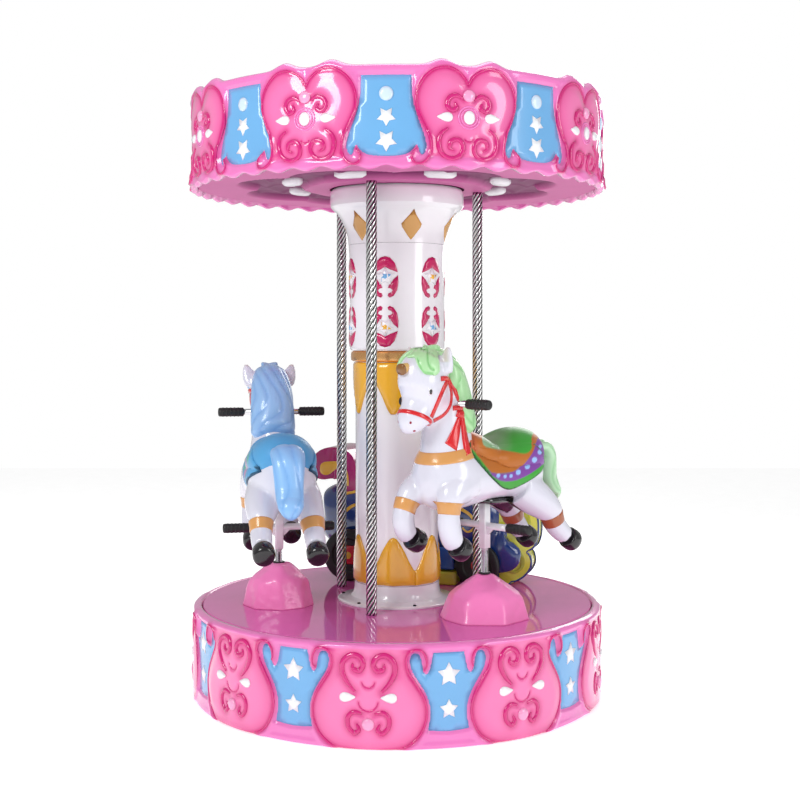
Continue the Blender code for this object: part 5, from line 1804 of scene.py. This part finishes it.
def rocks():
    """Broad-faceted pink boulders that hide where each pony's rod passes the floor."""
    for name, angle in PONY_ANGLES.items():
        angle = math.radians(angle)
        spot = Vector((RIDE_RADIUS * math.cos(angle), RIDE_RADIUS * math.sin(angle), 0))
        foot = spot + Vector((0, 0, BASE_HEIGHT + 0.0004))
        facets = [(bearing(turn, lean), push) for turn, lean, push in FACETS[name]]
        facets.append((Vector((0, 0, 1)), ROCK_HIGH - BASE_HEIGHT))
        sides, rows = 120, 48
        rings = []
        for row in range(rows + 1):
            ring = []
            for k in range(sides):
                way = bearing(360 * k / sides, 89.0 * row / rows)
                leans = [(way.dot(face), push) for face, push in facets]
                reaches = [push / lean for lean, push in leans if lean > 0.05]
                least = min(reaches)
                soft = least * sum((r / least) ** -40 for r in reaches) ** (-1 / 40)
                grit = 0.0018 * noise.noise(way * 6 + spot * 9) + 0.0006 * noise.noise(way * 30 + spot * 3)
                ring.append(foot + way * (soft + grit))
            rings.append(ring)
        rock = made_object(f"{name}_boulder", closed_rings("rock", rings), PAINT["rock"], "turntable")
        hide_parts(f"{name}_rock")
        profile = [(0.0142, 0.0), (0.0210, 0.0), (0.0210, 0.004), (0.0170, 0.0058), (0.0142, 0.0050)]
        collar = lathe_mesh("collar", profile, 32, 1, smooth=False)
        collar.transform(Matrix.Translation(spot + Vector((0, 0, ROCK_HIGH))))
        made_object(f"{name}_collar", collar, PAINT["grip"], "turntable")


def bearing(turn, lean):
    """A direction from its turn about the vertical and its lean above level, in degrees."""
    turn, lean = math.radians(turn), math.radians(lean)
    return Vector((math.cos(turn) * math.cos(lean), math.sin(turn) * math.cos(lean), math.sin(lean)))


ROCK_HIGH = 0.4705


# Carriage: forward is +X, its left +Y, and Z counts up from the turntable floor

HULL = (
    (-0.412, 0.0, 0.225, 0.060, 0.060), (-0.395, 0.0, 0.225, 0.092, 0.100),
    (-0.350, 0.0, 0.235, 0.118, 0.128), (-0.260, 0.0, 0.242, 0.134, 0.140),
    (-0.100, 0.0, 0.240, 0.140, 0.140), (0.080, 0.0, 0.240, 0.138, 0.140),
    (0.200, 0.0, 0.236, 0.124, 0.136), (0.270, 0.0, 0.230, 0.098, 0.120),
    (0.2997, 0.0, 0.230, 0.080, 0.105),
)
BACK_OUTLINE = (
    (-0.245, 0.130), (-0.252, 0.300), (-0.262, 0.440), (-0.290, 0.492), (-0.340, 0.511),
    (-0.395, 0.506), (-0.436, 0.478), (-0.450, 0.436), (-0.438, 0.398), (-0.405, 0.383),
    (-0.366, 0.388), (-0.342, 0.386), (-0.3297, 0.371), (-0.3297, 0.130),
)
PROW_OUTLINE = (
    (0.300, 0.012), (0.350, 0.012), (0.392, 0.034), (0.417, 0.072), (0.414, 0.108),
    (0.404, 0.126), (0.430, 0.148), (0.443, 0.190), (0.442, 0.250), (0.426, 0.300),
    (0.392, 0.338), (0.350, 0.352), (0.318, 0.344), (0.300, 0.320),
)
WHEELS = {"front": (0.236, 0.084), "rear": (-0.274, 0.100)}


def carriage_frame():
    angle = math.radians(CARRIAGE_ANGLE)
    spot = Matrix.Translation((RIDE_RADIUS * math.cos(angle), RIDE_RADIUS * math.sin(angle), BASE_HEIGHT))
    return spot @ Matrix.Rotation(angle - math.pi / 2, 4, "Z")


def slab(name, outline, half, bevel, middle=0.0):
    """An upright form with an outline in side view, rounded along both of its rims."""
    editable = bmesh.new()
    near = [editable.verts.new((x, middle - half, z)) for x, z in outline]
    far = [editable.verts.new((x, middle + half, z)) for x, z in outline]
    ends = [editable.faces.new(near), editable.faces.new(far)]
    count = len(outline)
    for k in range(count):
        j = (k + 1) % count
        editable.faces.new((near[k], near[j], far[j], far[k]))
    rims = [edge for face in ends for edge in face.edges]
    bmesh.ops.bevel(editable, geom=rims, offset=bevel, segments=5, profile=0.5, affect="EDGES", clamp_overlap=True)
    bmesh.ops.triangulate(editable, faces=[f for f in editable.faces if len(f.verts) > 4])
    bmesh.ops.recalc_face_normals(editable, faces=editable.faces)
    mesh = bpy.data.meshes.new(name)
    editable.to_mesh(mesh)
    editable.free()
    return mesh


def box_mesh(name, low, high, bevel):
    """A block with rounded edges."""
    x0, y0, z0 = low
    x1, y1, z1 = high
    editable = bmesh.new()
    bmesh.ops.create_cube(editable, size=1.0)
    for vertex in editable.verts:
        vertex.co = Vector(((x0 + x1) / 2, (y0 + y1) / 2, (z0 + z1) / 2)) + Vector(
            (vertex.co.x * (x1 - x0), vertex.co.y * (y1 - y0), vertex.co.z * (z1 - z0)))
    bmesh.ops.bevel(editable, geom=editable.edges[:], offset=bevel, segments=4, profile=0.5, affect="EDGES")
    bmesh.ops.recalc_face_normals(editable, faces=editable.faces)
    mesh = bpy.data.meshes.new(name)
    editable.to_mesh(mesh)
    editable.free()
    return mesh


def carved(mesh, cutters):
    """A mesh with closed forms taken out of it."""
    obj = bpy.data.objects.new("carved", mesh)
    bpy.context.scene.collection.objects.link(obj)
    helpers = []
    for cutter in cutters:
        helper = bpy.data.objects.new("cutter", cutter)
        bpy.context.scene.collection.objects.link(helper)
        step = obj.modifiers.new("cut", "BOOLEAN")
        step.object = helper
        step.operation = "DIFFERENCE"
        step.solver = "EXACT"
        helpers.append(helper)
    graph = bpy.context.evaluated_depsgraph_get()
    made = bpy.data.meshes.new_from_object(obj.evaluated_get(graph))
    for extra in [obj, *helpers]:
        old = extra.data
        bpy.data.objects.remove(extra)
        bpy.data.meshes.remove(old)
    return made


def across_mesh(name, x, z, profile, sides=64):
    """A turned form whose axis lies across the carriage, from points of (radius, side)."""
    mesh = lathe_mesh(name, profile, sides, 1, smooth=False)
    mesh.transform(Matrix.Translation((x, 0.0, z)) @ Matrix.Rotation(math.radians(-90), 4, "X"))
    return mesh


def carriage():
    """A generic low carriage: the third seat, mostly hidden in the photograph."""
    frame_of = carriage_frame()
    pieces = {}
    hull = loft_mesh("hull", HULL, 56, 5, 3.2)
    cabin = box_mesh("cabin", (-0.330, -0.112, 0.125), (0.170, 0.112, 0.60), 0.012)
    sill = box_mesh("sill", (-0.6, -0.3, -0.2), (0.6, 0.3, 0.1003), 0.004)
    door = across_mesh("door", 0.010, 0.420, [(0.001, -0.3), (0.130, -0.3), (0.130, 0.3), (0.001, 0.3)])
    hull = remeshed("carriage_shell", carved(hull, [cabin, sill, door]), 0.0080, 2)
    tree = tree_of(hull)

    def beside(side):
        def place(x, z, lift):
            spot, normal = hit(tree, (x, 0.4 * side, z), (0, -side, 0))
            if spot is None:
                return x, 0.13 * side, z
            return tuple(spot + normal * lift)
        return place

    def flat(half):
        def sided(side):
            return lambda x, z, lift: (x, side * (half + lift), z)
        return sided

    golds, limes, reds, blues, blacks, navies = [], [], [], [], [], []
    comma = [(-0.410, 0.427, 0.020), (-0.402, 0.427, 0.042), (-0.385, 0.428, 0.052), (-0.364, 0.436, 0.042),
             (-0.338, 0.443, 0.026), (-0.316, 0.430, 0.022), (-0.303, 0.400, 0.021), (-0.297, 0.362, 0.012)]
    line = smooth_path(comma, 4)
    scroll = ribbon_outline([p[:2] for p in line], [p[2] for p in line])
    rail = []
    for k in range(160):
        turn = 2 * math.pi * k / 160
        x = -0.080 + math.copysign(abs(math.cos(turn)) ** 0.22, math.cos(turn)) * 0.2560
        y = math.copysign(abs(math.sin(turn)) ** 0.22, math.sin(turn)) * 0.1175
        spot, _ = hit(tree, (x, y, 0.6), (0, 0, -1))
        rail.append((x, y, spot.z + 0.001 if spot else 0.38))
    for side in (1, -1):
        golds.append(inlay_mesh("comma", scroll, flat(0.1117)(side), 0.0035, 0.006, 0.008, 0.003))
        place = beside(side)
        for path, width in (
            (((-0.330, 0.205), (-0.300, 0.262), (-0.255, 0.292), (-0.215, 0.282), (-0.210, 0.250), (-0.236, 0.240)), 0.014),
            (((-0.330, 0.205), (-0.290, 0.190), (-0.240, 0.196), (-0.180, 0.222), (-0.110, 0.222)), 0.011),
            (((0.110, 0.300), (0.160, 0.292), (0.205, 0.262), (0.214, 0.222), (0.190, 0.204), (0.170, 0.220)), 0.014),
            (((0.214, 0.222), (0.232, 0.190), (0.230, 0.165)), 0.010),
            (((-0.130, 0.170), (-0.040, 0.150), (0.060, 0.158)), 0.010),
        ):
            golds.append(ribbon("trim", path, width, place, 0.004, 0.006))
        reds.append(box_mesh("locker", (-0.300, 0.118, 0.066) if side > 0 else (-0.300, -0.1755, 0.066),
                             (-0.240, 0.1755, 0.138) if side > 0 else (-0.240, -0.118, 0.138), 0.006))
        blues.append(box_mesh("panel", (0.040, 0.118, 0.060) if side > 0 else (0.040, -0.146, 0.060),
                              (0.139, 0.146, 0.144) if side > 0 else (0.139, -0.118, 0.144), 0.006))
        limes.append(box_mesh("step", (0.030, 0.072, 0.0006) if side > 0 else (0.030, -0.150, 0.0006),
                              (0.150, 0.150, 0.052) if side > 0 else (0.150, -0.072, 0.052), 0.010))
        fender = loft_mesh("fender", [
            (0.262, 0.108 * side, 0.150, 0.020, 0.050), (0.280, 0.110 * side, 0.146, 0.031, 0.080),
            (0.310, 0.111 * side, 0.142, 0.033, 0.092), (0.340, 0.111 * side, 0.140, 0.031, 0.080),
            (0.362, 0.110 * side, 0.150, 0.024, 0.050), (0.372, 0.110 * side, 0.160, 0.008, 0.016),
        ], 32, 5, 2.2)
        navies.append(fender)
        for word, (x, radius) in WHEELS.items():
            z = radius + 0.001
            inner, outer = 0.146 * side, 0.176 * side
            step = 0.0055 * side
            blacks.append(across_mesh("tyre", x, z, [
                (radius * 0.60, inner), (radius - 0.010, inner), (radius - 0.003, inner + step * 0.6),
                (radius, inner + step * 1.4), (radius, outer - step * 1.4), (radius - 0.003, outer - step * 0.6),
                (radius - 0.010, outer), (radius * 0.66, outer), (radius * 0.63, outer - step * 0.5), (radius * 0.60, outer - step * 1.2),
            ]))
            reds.append(across_mesh("disc", x, z, [
                (0.012, inner + step * 0.2), (radius * 0.61, inner + step * 0.2), (radius * 0.61, outer - step * 1.6),
                (radius * 0.52, outer - step * 2.2), (radius * 0.30, outer - step * 1.8), (radius * 0.26, outer - step * 0.8),
                (0.012, outer - step * 0.8),
            ]))
            golds.append(across_mesh("hub", x, z, [
                (0.0005, outer - step * 1.0), (radius * 0.20, outer - step * 1.0), (radius * 0.20, outer - step * 0.4),
                (radius * 0.13, outer - step * 0.05), (0.0005, outer),
            ], 32))
            for spoke in range(8):
                way = 2 * math.pi * spoke / 8
                arm = [(x + r * math.cos(way), z + r * math.sin(way)) for r in (radius * 0.22, radius * 0.56)]
                golds.append(inlay_mesh("spoke", ribbon_outline(arm, [0.007, 0.010]),
                                        flat(abs(outer - step * 2.0))(side), 0.003, 0.003, 0.012, 0.004))
    axles = [across_mesh("axle", x, r + 0.001, [(0.0005, -0.150), (0.011, -0.150), (0.011, 0.150), (0.0005, 0.150)], 24)
             for x, r in WHEELS.values()]
    wing = smooth_loop(PROW_OUTLINE, 4)
    creases = []
    for side in (1, -1):
        on_wing = flat(0.0745)(side)
        for path in (
            ((0.318, 0.325), (0.352, 0.318), (0.392, 0.290), (0.412, 0.240), (0.404, 0.192), (0.374, 0.180), (0.356, 0.204),
             (0.370, 0.226)),
            ((0.320, 0.160), (0.350, 0.148), (0.384, 0.112), (0.388, 0.072), (0.362, 0.050), (0.338, 0.066), (0.350, 0.088)),
        ):
            creases.append(ribbon("curl", path, 0.016, on_wing, 0.006, 0.007))
    rim = [(x, z) for x, z in wing] + [wing[0]]
    border = [bead_mesh("border", rim, [0.0050] * len(rim), flat(0.0700)(side), 10) for side in (1, -1)]
    wing_mesh = slab("wing", wing, 0.0745, 0.016)
    for mesh in (wing_mesh, *creases, *border):
        for vertex in mesh.vertices:
            vertex.co.y *= 1.0 - 0.5 * min(max((vertex.co.x - 0.325) / 0.12, 0.0), 1.0)
    pieces["shell"] = ([hull], "navy", "carriage_hull")
    pieces["fenders"] = (navies, "navy", None)
    pieces["back"] = ([slab("back", smooth_loop(BACK_OUTLINE, 3), 0.1117, 0.014)], "magenta_gloss", "carriage_back")
    pieces["wing"] = ([wing_mesh], "lime", "carriage_prow")
    # The curls are painted a deeper lime: painted shade along the carved creases
    pieces["curls"] = (creases, "lime_crease_shade", None)
    pieces["border"] = (border, "navy", None)
    pieces["cushion"] = ([loft_mesh("cushion", [
        (-0.2445, 0, 0.168, 0.095, 0.030), (-0.240, 0, 0.169, 0.108, 0.040), (-0.220, 0, 0.170, 0.1112, 0.0440),
        (-0.158, 0, 0.1705, 0.1116, 0.0450), (-0.095, 0, 0.170, 0.1112, 0.0440), (-0.075, 0, 0.169, 0.108, 0.040),
        (-0.0705, 0, 0.168, 0.095, 0.030)], 64, 5, 5.0)], "red_gloss", "carriage_bench")
    pieces["base"] = ([box_mesh("base", (-0.300, -0.070, 0.0006), (0.2994, 0.070, 0.0995), 0.008)], "black_gloss", "carriage_plinth")
    pieces["lockers"] = (reds, "red_gloss", "carriage_front_wheels")
    pieces["panels"] = (blues, "blue_gloss", None)
    pieces["steps"] = (limes, "lime", None)
    pieces["tyres"] = (blacks, "grip", "carriage_rear_wheels")
    pieces["axles"] = (axles, "galvanised", None)
    for z in (0.056, 0.016):
        for side in (1, -1):
            golds.append(bead_mesh("line", [(-0.290, z), (0.020, z)], [0.0026] * 2, flat(0.0700)(side), 8))
    golds.append(loop_bead("rail", rail, 0.0065))
    pieces["gilding"] = (golds, "gold_gloss", None)
    for word, (meshes, paint, node) in pieces.items():
        mesh = merged(f"carriage_{word}", meshes)
        mesh.transform(frame_of)
        piece = made_object(f"carriage_{word}_look", mesh, PAINT[paint], "turntable")
        if word not in ("shell", "fenders", "cushion"):
            sharpen(piece, 40)
        if node:
            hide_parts(node)


def loop_bead(name, loop, radius, sides=10):
    """A round bead along a closed line of points."""
    points = [Vector(p) for p in loop]
    count = len(points)
    rings = []
    for k in range(count):
        along = (points[(k + 1) % count] - points[k - 1]).normalized()
        side = along.cross(Vector((0, 0, 1))).normalized()
        across = side.cross(along)
        rings.append([
            points[k] + side * radius * math.cos(2 * math.pi * c / sides) + across * radius * math.sin(2 * math.pi * c / sides)
            for c in range(sides)
        ])
    faces = ring_faces(count, sides, closed=True)
    return outward(mesh_from(name, [tuple(p) for ring in rings for p in ring], faces))



# Everything in its place

CANOPY_SPOTS = (("disc", 0.0, 0.228, 0.022), ("star", 0.0, 0.158, 0.031), ("star", 0.0, 0.084, 0.035))
BASE_SPOTS = (("star", 0.0, 0.227, 0.038), ("star", 0.0, 0.120, 0.031))

stage()
lights_and_camera()
frame_pieces()
CANOPY = Band(
    "canopy", "turntable", CANOPY_RADIUS, CANOPY_PANEL_ANGLE, CANOPY_BOTTOM, CANOPY_TOP, SHIELD_RIDGE,
    BLUE_FIELD, canopy_strokes(), canopy_edges, ("canopy_valance_1", "canopy_valance_2", "canopy_valance_3"),
)
BASE = Band(
    "base", "base", BASE_RADIUS, BASE_PANEL_ANGLE, 0.0, BASE_HEIGHT, BASE_RIDGE,
    BASE_BLUE_FIELD, base_strokes(), base_edges, ("base_skirt_1", "base_skirt_2", "base_skirt_3"),
)
dress_band(CANOPY, CANOPY_SPOTS, False)
dress_band(BASE, BASE_SPOTS, True)
dress_column()
ceiling()
roof()
poles()
rocks()
SKIN = pony_skin()
skin_paint(SKIN, srgb("DFDFEC"))
for PONY in PONY_ANGLES:
    dress_pony(PONY, SKIN)
carriage()
